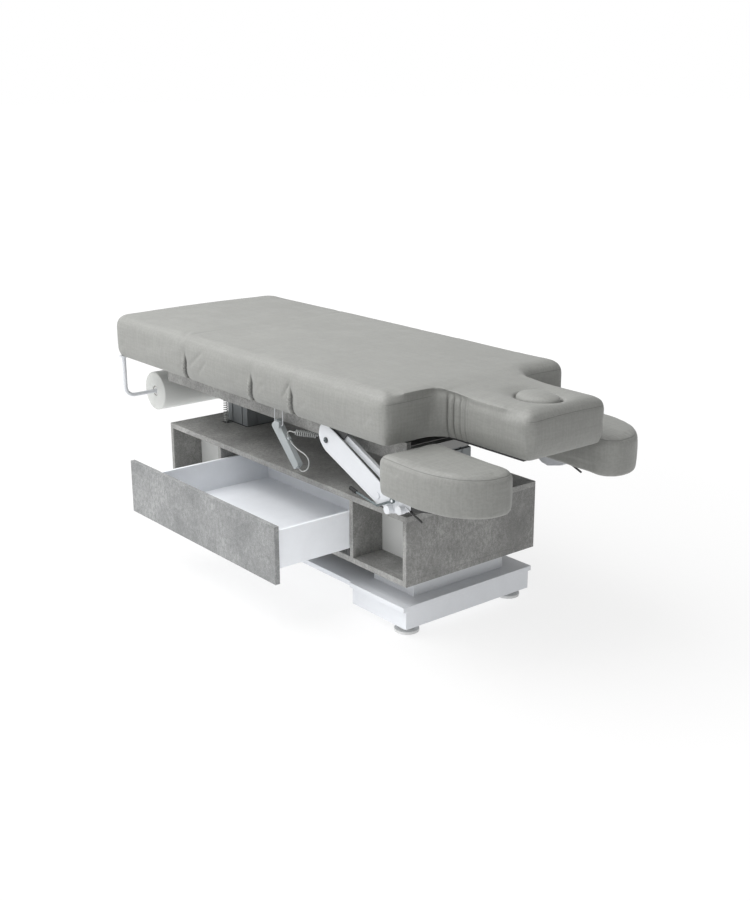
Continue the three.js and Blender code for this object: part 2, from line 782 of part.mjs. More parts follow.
// Welded frame under the thigh part, with its eyes, its lever and the knee's shaft
function thighFrameGeometry() {
  const eyes = [-eyeY, eyeY];
  const kneeEyes = eyes.map((y) => y + Math.sign(y) * 2 * eyeThickness);
  const frame = join(
    supportPlate([kneeX + plateHingeGap, thighHingeX - plateHingeGap], supportPlateHalfWidth),
    ...eyes.map((y) => hingeLug(thighHingeX, -1, y)),
    ...kneeEyes.map((y) => hingeLug(kneeX, 1, y)),
    pushLever(thighHingeX, -leverY), hingeLug(thighHingeX, -1, -leverY),
    rodY(shaftRadius, kneeX, kneeEyes, hingeZ));
  return cut(frame, ...[...eyes, -leverY].map((y) => shaftHole(thighHingeX, y)));
}

function legFrameGeometry() {
  const eyes = [-eyeY, eyeY];
  const frame = join(
    supportPlate([rollX + rollRadius / 2, kneeX - plateHingeGap], supportPlateHalfWidth),
    ...eyes.map((y) => hingeLug(kneeX, -1, y)));
  return cut(frame, ...eyes.map((y) => shaftHole(kneeX, y)));
}

// Welded frame under the back and head parts, with the brackets that carry the armrests
function backFrameGeometry() {
  const eyes = [-eyeY, eyeY];
  const bracket = bracketGeometry().translate(armPivotX, 0, armPivotZ);
  const outrigger = [armPivotX - bracketBack, armPivotX + bracketFront];
  const frame = join(
    supportPlate([backHingeX + plateHingeGap, shoulderX - topEdgeRadius], supportPlateHalfWidth),
    supportPlate([backHingeX + lugLength, headEnd - topEdgeRadius], headHalfWidth - topEdgeRadius / 2),
    supportPlate(outrigger, pivotPlateY),
    ...eyes.map((y) => hingeLug(backHingeX, 1, y)),
    pushLever(backHingeX, leverY), hingeLug(backHingeX, 1, leverY),
    bracket, mirrored(bracket, 'y'));
  return cut(frame, faceHole(cutOverrun),
    ...[...eyes, leverY].map((y) => shaftHole(backHingeX, y)));
}

function buildSupportFrames() {
  addPiece('thigh_frame', finish.frameSteel, thighFrameGeometry());
  addPiece('leg_frame', finish.frameSteel, legFrameGeometry());
  addPiece('back_frame', finish.frameSteel, backFrameGeometry());
}

// Oval column through the head part, wider by a margin all round
function faceHole(margin) {
  const hole = new THREE.CylinderGeometry(1, 1, mattressTop - hingeZ + cutOverrun, 32);
  hole.rotateX(Math.PI / 2);
  hole.scale(faceHoleLength / 2 + margin, faceHoleWidth / 2 + margin, 1);
  return hole.translate(faceHoleX, 0, (mattressTop + hingeZ + cutOverrun) / 2);
}

// Stations along the mattress, each with its half width in plan
function mattressStations() {
  const quarter = Math.PI / 2;
  const stations = [];
  const arcSteps = 5;
  for (let i = 0; i <= arcSteps; i += 1) {
    const angle = quarter * i / arcSteps;
    stations.push([
      -footEnd + footCornerRadius * (1 - Math.cos(angle)),
      mattressHalfWidth - footCornerRadius * (1 - Math.sin(angle))]);
  }
  for (const fold of [kneeX, thighHingeX, backHingeX]) {
    stations.push([fold - dartHalfLength, mattressHalfWidth]);
    stations.push([fold, mattressHalfWidth]);
    stations.push([fold + dartHalfLength, mattressHalfWidth]);
  }
  stations.push([shoulderX - 2 * topEdgeRadius, mattressHalfWidth]);
  for (let i = 0; i <= arcSteps; i += 1) {
    const angle = quarter * i / arcSteps;
    stations.push([
      shoulderX - shoulderCornerRadius * (1 - Math.sin(angle)),
      mattressHalfWidth - shoulderCornerRadius * (1 - Math.cos(angle))]);
  }
  for (let i = 0; i <= arcSteps; i += 1) {
    const angle = quarter * i / arcSteps;
    stations.push([
      shoulderX + contactGap + neckFilletRadius * (1 - Math.cos(angle)),
      headHalfWidth + neckFilletRadius * (1 - Math.sin(angle))]);
  }
  stations.push([faceHoleX - faceHoleLength / 2, headHalfWidth]);
  stations.push([faceHoleX + faceHoleLength / 4, headHalfWidth]);
  for (let i = 0; i <= arcSteps; i += 1) {
    const angle = quarter * i / arcSteps;
    stations.push([
      headEnd - headCornerRadius * (1 - Math.sin(angle)),
      headHalfWidth - headCornerRadius * (1 - Math.cos(angle))]);
  }
  return stations;
}

// Shortest distance in plan from a point to the mattress outline, both on the same side
function edgeDistance(stations, x, y) {
  const place = new THREE.Vector3(x, Math.abs(y), 0);
  const nearest = new THREE.Vector3();
  const first = stations[0];
  const last = stations[stations.length - 1];
  const outline = [[first[0], 0], ...stations, [last[0], 0]];
  let least = Infinity;
  for (let i = 0; i + 1 < outline.length; i += 1) {
    const edge = new THREE.Line3(
      new THREE.Vector3(outline[i][0], outline[i][1], 0),
      new THREE.Vector3(outline[i + 1][0], outline[i + 1][1], 0));
    edge.closestPointToPoint(place, true, nearest);
    least = Math.min(least, nearest.distanceTo(place));
  }
  return least;
}

function mattressSurface(stations, x, y, halfWidth) {
  const fall = THREE.MathUtils.smoothstep(x, shoulderX - topEdgeRadius, shoulderX + headDropLength);
  const across = halfWidth > 0 ? y / halfWidth : 0;
  const inward = Math.min(edgeDistance(stations, x, y), topEdgeRadius);
  const round = topEdgeRadius - Math.sqrt(
    topEdgeRadius * topEdgeRadius - (topEdgeRadius - inward) * (topEdgeRadius - inward));
  return mattressTop - headDrop * fall - crownHeight * across * across - round;
}

// How far the side is drawn in at a fold's dart
function dartAt(x) {
  const nearest = Math.min(...[kneeX, thighHingeX, backHingeX].map((fold) => Math.abs(x - fold)));
  return dartDepth * Math.max(0, 1 - nearest / dartHalfLength);
}

// Whole upholstered top as one crowned body, cut into its parts afterwards
function mattressBody() {
  const acrossShares = [0.985, 0.955, 0.9, 0.82, 0.66, 0.36];
  const stations = mattressStations();
  const rings = stations.map(([x, halfWidth]) => {
    const dart = dartAt(x);
    const low = mattressBottom + bottomTuckHeight;
    const edge = mattressSurface(stations, x, halfWidth, halfWidth);
    const middle = (mattressBottom + sideBulgeHeight + edge) / 2;
    const half = [
      [halfWidth - bottomTuck - dart, mattressBottom],
      [halfWidth - bottomTuck / 4 - dart, low],
      [halfWidth - dart, mattressBottom + sideBulgeHeight],
      [halfWidth - dart / 2, middle],
      [halfWidth, edge],
      ...acrossShares.map((share) => [
        halfWidth * share, mattressSurface(stations, x, halfWidth * share, halfWidth)]),
    ];
    const ring = half.map(([y, z]) => new THREE.Vector3(x, y, z));
    ring.push(new THREE.Vector3(x, 0, mattressSurface(stations, x, 0, halfWidth)));
    const other = [...half].reverse();
    other.forEach(([y, z]) => ring.push(new THREE.Vector3(x, -y, z)));
    return ring;
  });
  return loft(rings);
}

// Place of a fold's slanting face at a height, on one side of its hinge
function foldFace(fold, side, z) {
  const half = THREE.MathUtils.degToRad(fold.angle / 2 + foldSpareAngle);
  return fold.x + side * ((z - hingeZ) * Math.tan(half) + contactGap);
}

// Prism that holds one part of the mattress, between two faces given as functions of the height
function mattressPart(body, leftFace, rightFace, name, material) {
  const z0 = hingeZ;
  const z1 = mattressTop + cutOverrun;
  const shape = shapeFrom([
    [leftFace(z0), z0], [rightFace(z0), z0], [rightFace(z1), z1], [leftFace(z1), z1],
  ]);
  const wide = mattressHalfWidth + cutOverrun;
  const prism = plateXZ(shape, [-wide, wide]);
  return addPiece(name, material, geometryOf(solid(prism).intersect(body)));
}

function buildMattress() {
  const body = solid(mattressBody()).subtract(solid(faceHole(0)));
  const folds = {
    thigh: { x: thighHingeX, angle: thighFoldAngle },
    back: { x: backHingeX, angle: backFoldAngle },
  };
  const footFace = () => -footEnd - cutOverrun;
  const headFace = () => headEnd + cutOverrun;
  const legFace = () => kneeX - contactGap / 2;
  const thighFace = () => kneeX + contactGap / 2;
  const face = (fold, side) => (z) => foldFace(fold, side, z);
  const inFold = (fold, side) => (z) => foldFace(fold, side, z) - side * contactGap;
  const part = (left, right, name) => mattressPart(body, left, right, name, finish.upholstery);
  part(footFace, legFace, 'leg_cushion');
  part(thighFace, face(folds.thigh, -1), 'thigh_cushion');
  part(inFold(folds.thigh, -1), inFold(folds.thigh, 1), 'thigh_fold');
  part(face(folds.thigh, 1), face(folds.back, -1), 'seat_cushion');
  part(inFold(folds.back, -1), inFold(folds.back, 1), 'back_fold');
  part(face(folds.back, 1), headFace, 'back_cushion');
}

// Crowned oval plug that closes the face hole
function buildFacePlug() {
  const sides = 28;
  const top = mattressTop - headDrop + plugProud;
  const levels = [
    [0.93, top - plugThickness], [1, top - plugThickness + plugCrown],
    [1, top - plugCrown], [0.95, top - plugCrown / 3], [0.8, top + plugCrown / 6],
    [0.5, top + plugCrown / 2], [0.2, top + plugCrown * 2 / 3],
  ];
  const halfX = faceHoleLength / 2 - slideGap;
  const halfY = faceHoleWidth / 2 - slideGap;
  const rings = levels.map(([share, z]) => Array.from({ length: sides }, (_, i) => {
    const angle = 2 * Math.PI * i / sides;
    return new THREE.Vector3(faceHoleX + halfX * share * Math.cos(angle),
      halfY * share * Math.sin(angle), z);
  }));
  addPiece('face_plug', finish.upholstery, loft(rings));
}

function buildPaperRoll() {
  const outer = rollHalfLength;
  const hub = outer - rollHubDepth;
  const hubBore = holderRadius + slideGap;
  const profile = [
    [hubBore, -hub], [rollBoreRadius, -hub], [rollBoreRadius, -outer], [rollRadius, -outer],
    [rollRadius, outer], [rollBoreRadius, outer], [rollBoreRadius, hub], [hubBore, hub],
    [hubBore, -hub],
  ];
  const points = profile.map(([radius, height]) => new THREE.Vector2(radius, height));
  const roll = new THREE.LatheGeometry(points, 32);
  addPiece('paper_roll', finish.paper, roll.translate(rollX, 0, rollZ));
}

function buildRollHolder() {
  const flangeZ = mattressBottom - holderFlangeThickness;
  const barEnd = rollHalfLength + holderTailLength;
  const bendSteps = 5;
  const bend = Array.from({ length: bendSteps + 1 }, (_, i) => {
    const angle = Math.PI / 2 * i / bendSteps;
    return new THREE.Vector3(rollX, holderLegY + holderBend * (1 - Math.cos(angle)),
      rollZ + holderBend * (1 - Math.sin(angle)));
  });
  const tube = sweep([new THREE.Vector3(rollX, holderLegY, flangeZ + slideGap), ...bend,
    new THREE.Vector3(rollX, barEnd, rollZ)], holderRadius, 12);
  const flange = turned([
    [0, flangeZ], [holderFlangeRadius, flangeZ],
    [holderFlangeRadius, mattressBottom], [0, mattressBottom],
  ], rollX, holderLegY, 16);
  const cap = rodY(holderCapRadius, rollX,
    [barEnd - holderTailLength / 2, barEnd + slideGap], rollZ);
  addPiece('roll_holder', finish.whiteSteel, join(tube, flange, cap));
}

// Range from one place to another, whichever is the lower
function between(a, b) {
  return [Math.min(a, b), Math.max(a, b)];
}

// Actuator body along X with its motor beside it, between its anchor and its bored end
function actuatorBody(anchorX, endX, y) {
  const side = Math.sign(endX - anchorX);
  const motorY = y - Math.sign(y) * (actuatorRadius + motorRadius - cutOverrun);
  const body = join(
    rodX(actuatorRadius, between(anchorX, endX), y, actuatorZ),
    rodX(motorRadius, between(anchorX + side * motorRadius, anchorX + side * motorLength),
      motorY, actuatorZ));
  const boreEnd = endX - side * (rodEngagement + contactGap);
  return cut(body, rodX(actuatorRodRadius + contactGap,
    between(boreEnd, endX + side * cutOverrun), y, actuatorZ));
}

// Push rod out of the bore, with a fork on the end that straddles the lever
function actuatorRod(name, bodyEnd, leverX, y) {
  const side = Math.sign(leverX - bodyEnd);
  const forkEnd = leverX + side * eyeRadius;
  const slotStart = leverX - side * (eyeRadius + forkPlay);
  const forkStart = slotStart - side * forkBackLength;
  const slotHalf = eyeThickness / 2 + slideGap;
  const forkHalf = slotHalf + forkTine;
  const height = [actuatorZ - forkHalfHeight, actuatorZ + forkHalfHeight];
  const tall = [height[0] - cutOverrun, height[1] + cutOverrun];
  const rod = rodX(actuatorRodRadius,
    between(bodyEnd - side * rodEngagement, forkStart + side * slideGap), y, actuatorZ);
  const fork = block(between(forkStart, forkEnd), [y - forkHalf, y + forkHalf], height);
  const slot = block(between(slotStart, forkEnd + side * cutOverrun),
    [y - slotHalf, y + slotHalf], tall);
  addPiece(name, finish.steel, cut(join(rod, fork), slot));
}

function buildActuators() {
  const backAnchor = legCrossX + crossTubeWidth / 2;
  const legAnchor = backCrossX - crossTubeWidth / 2;
  addPiece('back_actuator', finish.black, actuatorBody(backAnchor, backActuatorEnd, leverY));
  addPiece('leg_actuator', finish.black, actuatorBody(legAnchor, legActuatorEnd, -leverY));
  actuatorRod('back_actuator_rod', backActuatorEnd, backHingeX, leverY);
  actuatorRod('leg_actuator_rod', legActuatorEnd, thighHingeX, -leverY);
}

// Everything of one armrest is drawn for the far side and turned over for the near side
function place(geometry, side) {
  return side > 0 ? geometry : mirrored(geometry, 'y');
}

function armPlateGeometry() {
  const shape = new THREE.Shape();
  shape.moveTo(armPinRadius * 2, -armLowerSide);
  shape.lineTo(armLength + armCutStart, -armLowerSideEnd);
  shape.lineTo(armLength + armCutStart + armCutLength, armCutRise);
  shape.lineTo(armLength + armCutLength, armUpperSideEnd);
  shape.lineTo(armPinHeadRadius * 3, armUpperSide);
  shape.lineTo(-armTailLength / 2, armUpperSide - armPinHeadThickness);
  shape.quadraticCurveTo(-armTailLength, armUpperSide * 3 / 4, -armTailLength, armTailRise);
  shape.quadraticCurveTo(-armTailLength, -armLowerSide * 3 / 4, armPinRadius * 2, -armLowerSide);
  for (const along of [0, armLength]) {
    const hole = new THREE.Path().absarc(along, 0, armPinRadius + contactGap, 0, 2 * Math.PI, true);
    shape.holes.push(hole);
  }
  const face = [armPlateY - armPlateThickness, armPlateY];
  const plate = plateXZ(shape, face, 6);
  const fold = shapeFrom([
    [armFoldInset, -armLowerSide + armFoldThickness],
    [armLength - armFoldInset, -armLowerSideEnd + armFoldThickness / 2],
    [armLength - armFoldInset, -armLowerSideEnd + armFoldThickness * 2],
    [armFoldInset, -armLowerSide + armFoldThickness * 2],
  ]);
  const lip = plateXZ(fold, [armPlateY - armFoldDepth, armPlateY - slideGap]);
  return join(plate, lip);
}

function armLinkGeometry() {
  const shape = capsuleShape([0, 0], [armLength, 0], linkHalfWidth);
  for (const along of [0, armLength]) {
    const hole = new THREE.Path().absarc(along, 0, linkPinRadius + contactGap, 0, 2 * Math.PI, true);
    shape.holes.push(hole);
  }
  return plateXZ(shape, [linkY - linkThickness, linkY], 6);
}

// Pins of the arm plate and of the link, on a pivot plate whose origin is the arm's pin
function pivotPins() {
  const inner = pivotPlateY - pivotPlateThickness;
  const headY = armPlateY + contactGap;
  const linkHeadY = linkY - linkThickness - contactGap;
  return [
    rodY(armPinRadius, 0, [inner, headY + armPinHeadThickness], 0),
    rodY(armPinHeadRadius, 0, [headY, headY + armPinHeadThickness], 0),
    rodY(linkPinRadius, linkOffsetX, [linkHeadY - armPinHeadThickness, pivotPlateY],
      linkOffsetZ, 8),
    rodY(linkPinHeadRadius, linkOffsetX, [linkHeadY - armPinHeadThickness, linkHeadY],
      linkOffsetZ),
  ];
}

// Bracket under the back part, drawn about the arm's pin
function bracketGeometry() {
  const top = mattressBottom - armPivotZ - slideGap;
  const shape = shapeFrom([
    [-bracketBack, top], [-armPinRadius * 3, -armPinRadius * 2], [0, -armPinRadius * 3],
    [armPinRadius * 3, -armPinRadius * 2], [linkOffsetX + linkHalfWidth, linkOffsetZ - linkHalfWidth],
    [bracketFront, top - supportPlateThickness], [bracketFront, top],
  ]);
  return join(plateXZ(shape, [pivotPlateY - pivotPlateThickness, pivotPlateY]), ...pivotPins());
}

function carrierGeometry() {
  const plateY = [pivotPlateY - pivotPlateThickness, pivotPlateY];
  const top = carrierTopRise + carrierFlangeThickness;
  const shape = shapeFrom([
    [-armPinRadius * 3, 0], [-armPinRadius * 2, -armPinRadius * 3],
    [lobeLowX - lobeRadius * 2, -carrierLowEdge + armPinRadius],
    [lobeLowX, -carrierLowEdge], [lobeHighX, -carrierLowEdge + lobeRadius],
    [lobeHighX + lobeRadius * 2, -lobeHighZ], [carrierLength, carrierTailRise],
    [carrierLength, top], [carrierFlangeStart, top],
    [linkOffsetX - linkHalfWidth, carrierTopRise], [-armPinRadius * 2, armPinRadius * 2],
  ]);
  const lobeY = [pivotPlateY - slideGap, pivotPlateY + lobeReach];
  return join(
    plateXZ(shape, plateY),
    block([carrierFlangeStart, carrierLength], [pivotPlateY - carrierFlangeWidth, pivotPlateY],
      [carrierTopRise, top]),
    rodY(lobeRadius, lobeLowX, lobeY, -lobeLowZ),
    rodY(lobeRadius, lobeHighX, lobeY, -lobeHighZ),
    rodBetween(guideRodRadius, [guideRodStartX, pivotPlateY + guideRodRadius / 2, -guideRodStartZ],
      [guideRodEndX, pivotPlateY + guideRodRadius / 2, -guideRodEndZ], 6),
    rodY(linkPinRadius, leverPivotX, [pivotPlateY - slideGap, leverRodY + leverRodRadius],
      leverPivotZ, 8),
    ...pivotPins());
}

function lockLeverGeometry() {
  const at = (x, z) => [-x, leverRodY, -z];
  const hub = rodY(leverHubRadius, leverPivotX,
    [leverRodY - leverRodRadius, leverRodY + leverRodRadius], leverPivotZ);
  const pivot = [leverPivotX, leverRodY, leverPivotZ];
  const bend = [leverBendX, leverRodY, -leverBendZ];
  const ball = new THREE.SphereGeometry(leverRodRadius, 8, 6).translate(...bend);
  const lever = join(hub, ball,
    rodBetween(leverRodRadius, pivot, bend),
    rodBetween(leverRodRadius, bend, at(leverGripX, leverGripZ)),
    rodBetween(leverGripRadius, at(leverGripX, leverGripZ), at(leverTipX, leverTipZ)));
  const reach = leverRodRadius + cutOverrun;
  return cut(lever, rodY(linkPinRadius + contactGap, leverPivotX,
    [leverRodY - reach, leverRodY + reach], leverPivotZ, 8));
}

// Pad with a straight inner edge, a long bow at its outer side, a crowned top and drawn-in
// lower sides
function padGeometry() {
  const x0 = padStart;
  const x1 = padStart + padLength;
  const plan = new THREE.Shape();
  const corner = padCornerRadius;
  const inner = padInnerCornerRadius;
  const head = padHeadCornerRadius;
  plan.moveTo(x0 + inner, padInnerY);
  plan.lineTo(x1 - head, padInnerY);
  plan.absarc(x1 - head, padInnerY + head, head, -Math.PI / 2, 0, false);
  plan.absellipse(x1 - padBowLength, padOuterY - padBowWidth, padBowLength, padBowWidth,
    0, Math.PI / 2, false);
  plan.absarc(x0 + corner, padOuterY - corner, corner, Math.PI / 2, Math.PI, false);
  plan.absarc(x0 + inner, padInnerY + inner, inner, Math.PI, Math.PI * 3 / 2, false);
  const outline = plan.getSpacedPoints(32).slice(0, 32);
  const middle = new THREE.Vector2((x0 + x1) / 2, (padInnerY + padOuterY) / 2);
  const bottom = padRise;
  const top = padRise + padThickness;
  const halfSpan = (padOuterY - padInnerY) / 2;
  const levels = [
    [padTuck, bottom], [padTuck / 4, bottom + padTuck],
    [0, bottom + padThickness / 3], [0, top - padSeamDrop], [padTuck / 5, top - padSeamDrop * 2 / 3],
    [padTuck * 2 / 3, top - padSeamDrop / 3], [padTuck * 3 / 2, top - padSeamDrop / 6],
    [padTuck * 3, top - padCrown / 4], [halfSpan * 3 / 5, top + padCrown / 2],
    [halfSpan * 5 / 6, top + padCrown * 2 / 3],
  ];
  const rings = levels.map(([inset, z]) => outline.map((point) => {
    const share = 1 - inset / halfSpan;
    const spot = middle.clone().lerp(point, share);
    return new THREE.Vector3(spot.x, spot.y, z);
  }));
  return loft(rings);
}

function buildArmrest(side, tag, angle) {
  const armAngle = THREE.MathUtils.degToRad(angle);
  const pivot = new THREE.Group();
  pivot.position.set(armPivotX, 0, armPivotZ);
  model.add(pivot);
  const arm = addPiece(`arm_plate_${tag}`, finish.whiteSteel, place(armPlateGeometry(), side), pivot);
  arm.rotation.y = armAngle;
  const link = addPiece(`arm_link_${tag}`, finish.whiteSteel, place(armLinkGeometry(), side), pivot);
  link.position.set(linkOffsetX, 0, linkOffsetZ);
  link.rotation.y = armAngle;
  const carrier = new THREE.Group();
  carrier.position.set(armPivotX + armLength * Math.cos(armAngle), 0,
    armPivotZ - armLength * Math.sin(armAngle));
  model.add(carrier);
  addPiece(`pad_carrier_${tag}`, finish.whiteSteel, place(carrierGeometry(), side), carrier);
  addPiece(`arm_pad_${tag}`, finish.upholstery, place(padGeometry(), side), carrier);
  addPiece(`lock_lever_${tag}`, finish.steel, place(lockLeverGeometry(), side), carrier);
}

// Wire hook under the seat part
function buildHook() {
  const x0 = hookX - hookHalfWidth;
  const x1 = hookX + hookHalfWidth;
  const plateBottom = mattressBottom - hookPlateThickness;
  const top = plateBottom + slideGap;
  addPiece('handset_hook', finish.steel, join(
    block([x0 - hookPlateMargin, x1 + hookPlateMargin],
      [hookY - hookPlateMargin, hookPlateY], [plateBottom, mattressBottom]),
    rodBetween(hookWireRadius, [x0, hookY, hookBottomZ], [x0, hookY, top], 8),
    rodBetween(hookWireRadius, [x1, hookY, hookBottomZ], [x1, hookY, top], 8),
    rodBetween(hookWireRadius, [x0 - hookWireRadius, hookY, hookBottomZ],
      [x1 + hookWireRadius, hookY, hookBottomZ], 8)));
}

// Handset in its own leaning frame: its length on Z, its keys on the +Y face
function buildHandset() {
  const frame = new THREE.Group();
  frame.position.set(handsetX, handsetY, handsetZ);
  frame.rotation.y = -THREE.MathUtils.degToRad(handsetLean);
  model.add(frame);
  const outline = new THREE.Shape();
  const w = handsetHalfWidth;
  const r = handsetRound;
  outline.moveTo(-w + r, handsetTop);
  outline.lineTo(w - r, handsetTop);
  outline.quadraticCurveTo(w, handsetTop, w, handsetTop - r);
  outline.lineTo(handsetWaist, -handsetBottom + r);
  outline.quadraticCurveTo(handsetWaist, -handsetBottom, handsetWaist - r, -handsetBottom);
  outline.lineTo(-handsetWaist + r, -handsetBottom);
  outline.quadraticCurveTo(-handsetWaist, -handsetBottom, -handsetWaist, -handsetBottom + r);
  outline.lineTo(-w, handsetTop - r);
  outline.quadraticCurveTo(-w, handsetTop, -w + r, handsetTop);
  const shell = plateXZ(outline, [-handsetHalfThickness, handsetHalfThickness], 4);
  const pockets = [];
  for (let i = 0; i < 3; i += 1) {
    const z = keyFirst - i * keyPitch;
    const halfX = keyHalfWidth + slideGap;
    const halfZ = keyHalfLength + slideGap;
    pockets.push(block([-halfX, halfX],
      [handsetHalfThickness - keyPocketDepth, handsetHalfThickness + cutOverrun],
      [z - halfZ, z + halfZ]));
    buildKey(frame, `rocker_key_${i + 1}`, z);
  }
  const clampX = handsetWaist + cordClipReach;
  const clamp = block([handsetWaist - slideGap, clampX],
    [-cordClipHalfDepth, cordClipHalfDepth],
    [cordClipRise - cordClipHalfLength, cordClipRise + cordClipHalfLength]);
  const holeX = clampX - cordRadius * 2;
  const cordHole = rodBetween(cordRadius + slideGap,
    [holeX, 0, cordClipRise - cordClipHalfLength - cutOverrun],
    [holeX, 0, cordClipRise + cordClipHalfLength + cutOverrun], 12);
  const gland = turned([
    [0, -handsetBottom - glandHeight], [glandRadius, -handsetBottom - glandHeight],
    [glandRadius, slideGap - handsetBottom], [0, slideGap - handsetBottom],
  ], 0, 0, 12);
  const hook = hookClip(frame);
  addPiece('handset', finish.handset, 
    cut(join(shell, clamp, gland, hook), ...pockets, cordHole), frame);
}

// Clip on the handset's back that sits over the hook's bar
function hookClip(frame) {
  const bar = [hookX, hookY, hookBottomZ];
  const outerY = hookWireRadius + contactGap + clipWallDepth;
  const slotY = hookWireRadius + contactGap;
  const left = bar[0] - clipHalfWidth;
  const right = bar[0] + clipHalfWidth / 2;
  const shell = block([left, right], [bar[1] - outerY, handsetY - handsetHalfThickness + slideGap],
    [bar[2] - clipBottomDrop, bar[2] + clipTopRise]);
  const slot = block([left - cutOverrun, right + cutOverrun], [bar[1] - slotY, bar[1] + slotY],
    [bar[2] - clipBottomDrop - cutOverrun, bar[2] + slotY]);
  frame.updateMatrixWorld(true);
  return cut(shell, slot).applyMatrix4(frame.matrixWorld.clone().invert());
}

// Rocker key with a shallow V of a top, on a short pin in the handset's pocket
function buildKey(frame, name, z) {
  const floor = handsetHalfThickness - keyPocketDepth;
  const top = handsetHalfThickness + keyHeight;
  const lift = keyHalfLength * Math.sin(THREE.MathUtils.degToRad(keyTilt)) + contactGap;
  const side = shapeFrom([
    [-keyHalfLength, floor + lift], [0, floor + contactGap], [keyHalfLength, floor + lift],
    [keyHalfLength, top], [0, top - keyPinRadius], [-keyHalfLength, top],
  ]);
  const geometry = new THREE.ExtrudeGeometry(side, { depth: 2 * keyHalfWidth, bevelEnabled: false });
  geometry.translate(0, 0, -keyHalfWidth);
  const turn = new THREE.Matrix4().makeBasis(
    new THREE.Vector3(0, 0, 1), new THREE.Vector3(0, 1, 0), new THREE.Vector3(-1, 0, 0));
  geometry.applyMatrix4(turn);
  addPiece(name, finish.key, geometry.translate(0, 0, z), frame);
}

// One unbroken tube round a helix between two points, with straight ends along its axis
function curlyTube(start, end, radius, turns, wireRadius, tailStart, tailEnd) {
  const from = new THREE.Vector3(...start);
  const to = new THREE.Vector3(...end);
  const axis = to.clone().sub(from);
  const height = axis.length();
  axis.normalize();
  const side = new THREE.Vector3(0, 0, 1).cross(axis);
  if (side.length() < contactGap) side.set(1, 0, 0);
  side.normalize();
  const other = axis.clone().cross(side);
  const points = [];
  const total = turns * curlSteps;
  tailStart.forEach((point) => points.push(new THREE.Vector3(...point)));
  for (let i = 0; i <= total; i += 1) {
    const angle = 2 * Math.PI * i / curlSteps;
    const ease = Math.min(1, i / curlSteps, (total - i) / curlSteps);
    const reach = radius * Math.max(ease, 1 / curlSteps);
    points.push(from.clone().addScaledVector(axis, height * i / total)
      .addScaledVector(side, reach * Math.cos(angle))
      .addScaledVector(other, reach * Math.sin(angle)));
  }
  tailEnd.forEach((point) => points.push(new THREE.Vector3(...point)));
  printLeastGap(points, turns, wireRadius);
  return sweep(points, wireRadius, curlSides);
}

// Tube of a few sides swept along points, with a flat fan at both ends
function sweep(points, radius, sides) {
  const rings = [];
  const normal = new THREE.Vector3(0, 0, 1);
  points.forEach((point, i) => {
    const before = points[Math.max(i - 1, 0)];
    const after = points[Math.min(i + 1, points.length - 1)];
    const tangent = after.clone().sub(before).normalize();
    normal.addScaledVector(tangent, -normal.dot(tangent));
    if (normal.length() < contactGap) normal.set(1, 0, 0).addScaledVector(tangent, -tangent.x);
    normal.normalize();
    const binormal = tangent.clone().cross(normal);
    rings.push(Array.from({ length: sides }, (_, k) => {
      const angle = 2 * Math.PI * k / sides;
      return point.clone().addScaledVector(normal, radius * Math.cos(angle))
        .addScaledVector(binormal, radius * Math.sin(angle));
    }));
  });
  return loft(rings);
}

// Least clear gap between neighbouring turns, measured on the curl's points
function printLeastGap(points, turns, wireRadius) {
  let least = Infinity;
  for (let i = 0; i < points.length; i += 1) {
    for (let j = i + curlSteps / 2; j < points.length; j += 1) {
      least = Math.min(least, points[i].distanceTo(points[j]) - 2 * wireRadius);
    }
  }
  console.log(`least gap of the curly cord with ${turns} turns: ${least.toFixed(2)} mm`);
}

// Curly cable beside the foot column, from the cabinet top up to the top frame
function buildLiftCable() {
  const low = cabinetTop - cabinetTopThickness / 2;
  const high = headPlateBottom - contactGap;
  addPiece('lift_cable', finish.cord, curlyTube(
    [liftCoilX, liftCoilY, low + liftCoilEndLength], [liftCoilX, liftCoilY, high - liftCoilEndLength],
    liftCoilRadius, liftCoilTurns, liftCordRadius,
    [[liftCoilX, liftCoilY, low], [liftCoilX, liftCoilY, low + liftCoilEndLength / 2]],
    [[liftCoilX, liftCoilY, high - liftCoilEndLength / 2], [liftCoilX, liftCoilY, high]]));
}

function buildHandsetCord() {
  const route = handsetCordRoute.map((point) => new THREE.Vector3(...point));
  const curve = new THREE.CatmullRomCurve3(route, false, 'centripetal');
  const section = new THREE.Shape().absarc(0, 0, cordRadius, 0, 2 * Math.PI);
  addPiece('handset_cord', finish.cord, new THREE.ExtrudeGeometry(section, {
    steps: 36, curveSegments: cordSides / 2, extrudePath: curve,
  }));
  const tailTop = railBottom - socketHeight - contactGap;
  const [cordEndX, cordEndY, cordEndZ] = handsetCordRoute[handsetCordRoute.length - 1];
  const tailStart = cordEndX + contactGap;
  addPiece('handset_curl', finish.cord, curlyTube(handsetCoilStart, handsetCoilEnd,
    handsetCoilRadius, handsetCoilTurns, cordRadius,
    [[tailStart, cordEndY, cordEndZ], [tailStart + 2 * cordRadius, cordEndY, cordEndZ]],
    [[socketX, socketY, tailTop - 2 * cordRadius], [socketX, socketY, tailTop]]));
}

buildFeet();
buildBase();
buildCabinet();
buildColumns();
buildControlBox();
buildDrawer();
buildTopFrame();
buildSupportFrames();
buildMattress();
buildFacePlug();
buildPaperRoll();
buildRollHolder();
buildActuators();
buildArmrest(-1, 'near', nearArmAngle);
buildArmrest(1, 'far', farArmAngle);
buildHook();
buildHandset();
buildLiftCable();
buildHandsetCord();

// Middle of the footprint box, on the floor, becomes the origin
model.updateMatrixWorld(true);
const footprint = new THREE.Box3().setFromObject(model, true);
const footprintCentre = footprint.getCenter(new THREE.Vector3());
model.position.set(-footprintCentre.x, -footprintCentre.y, -footprint.min.z);

export default model;
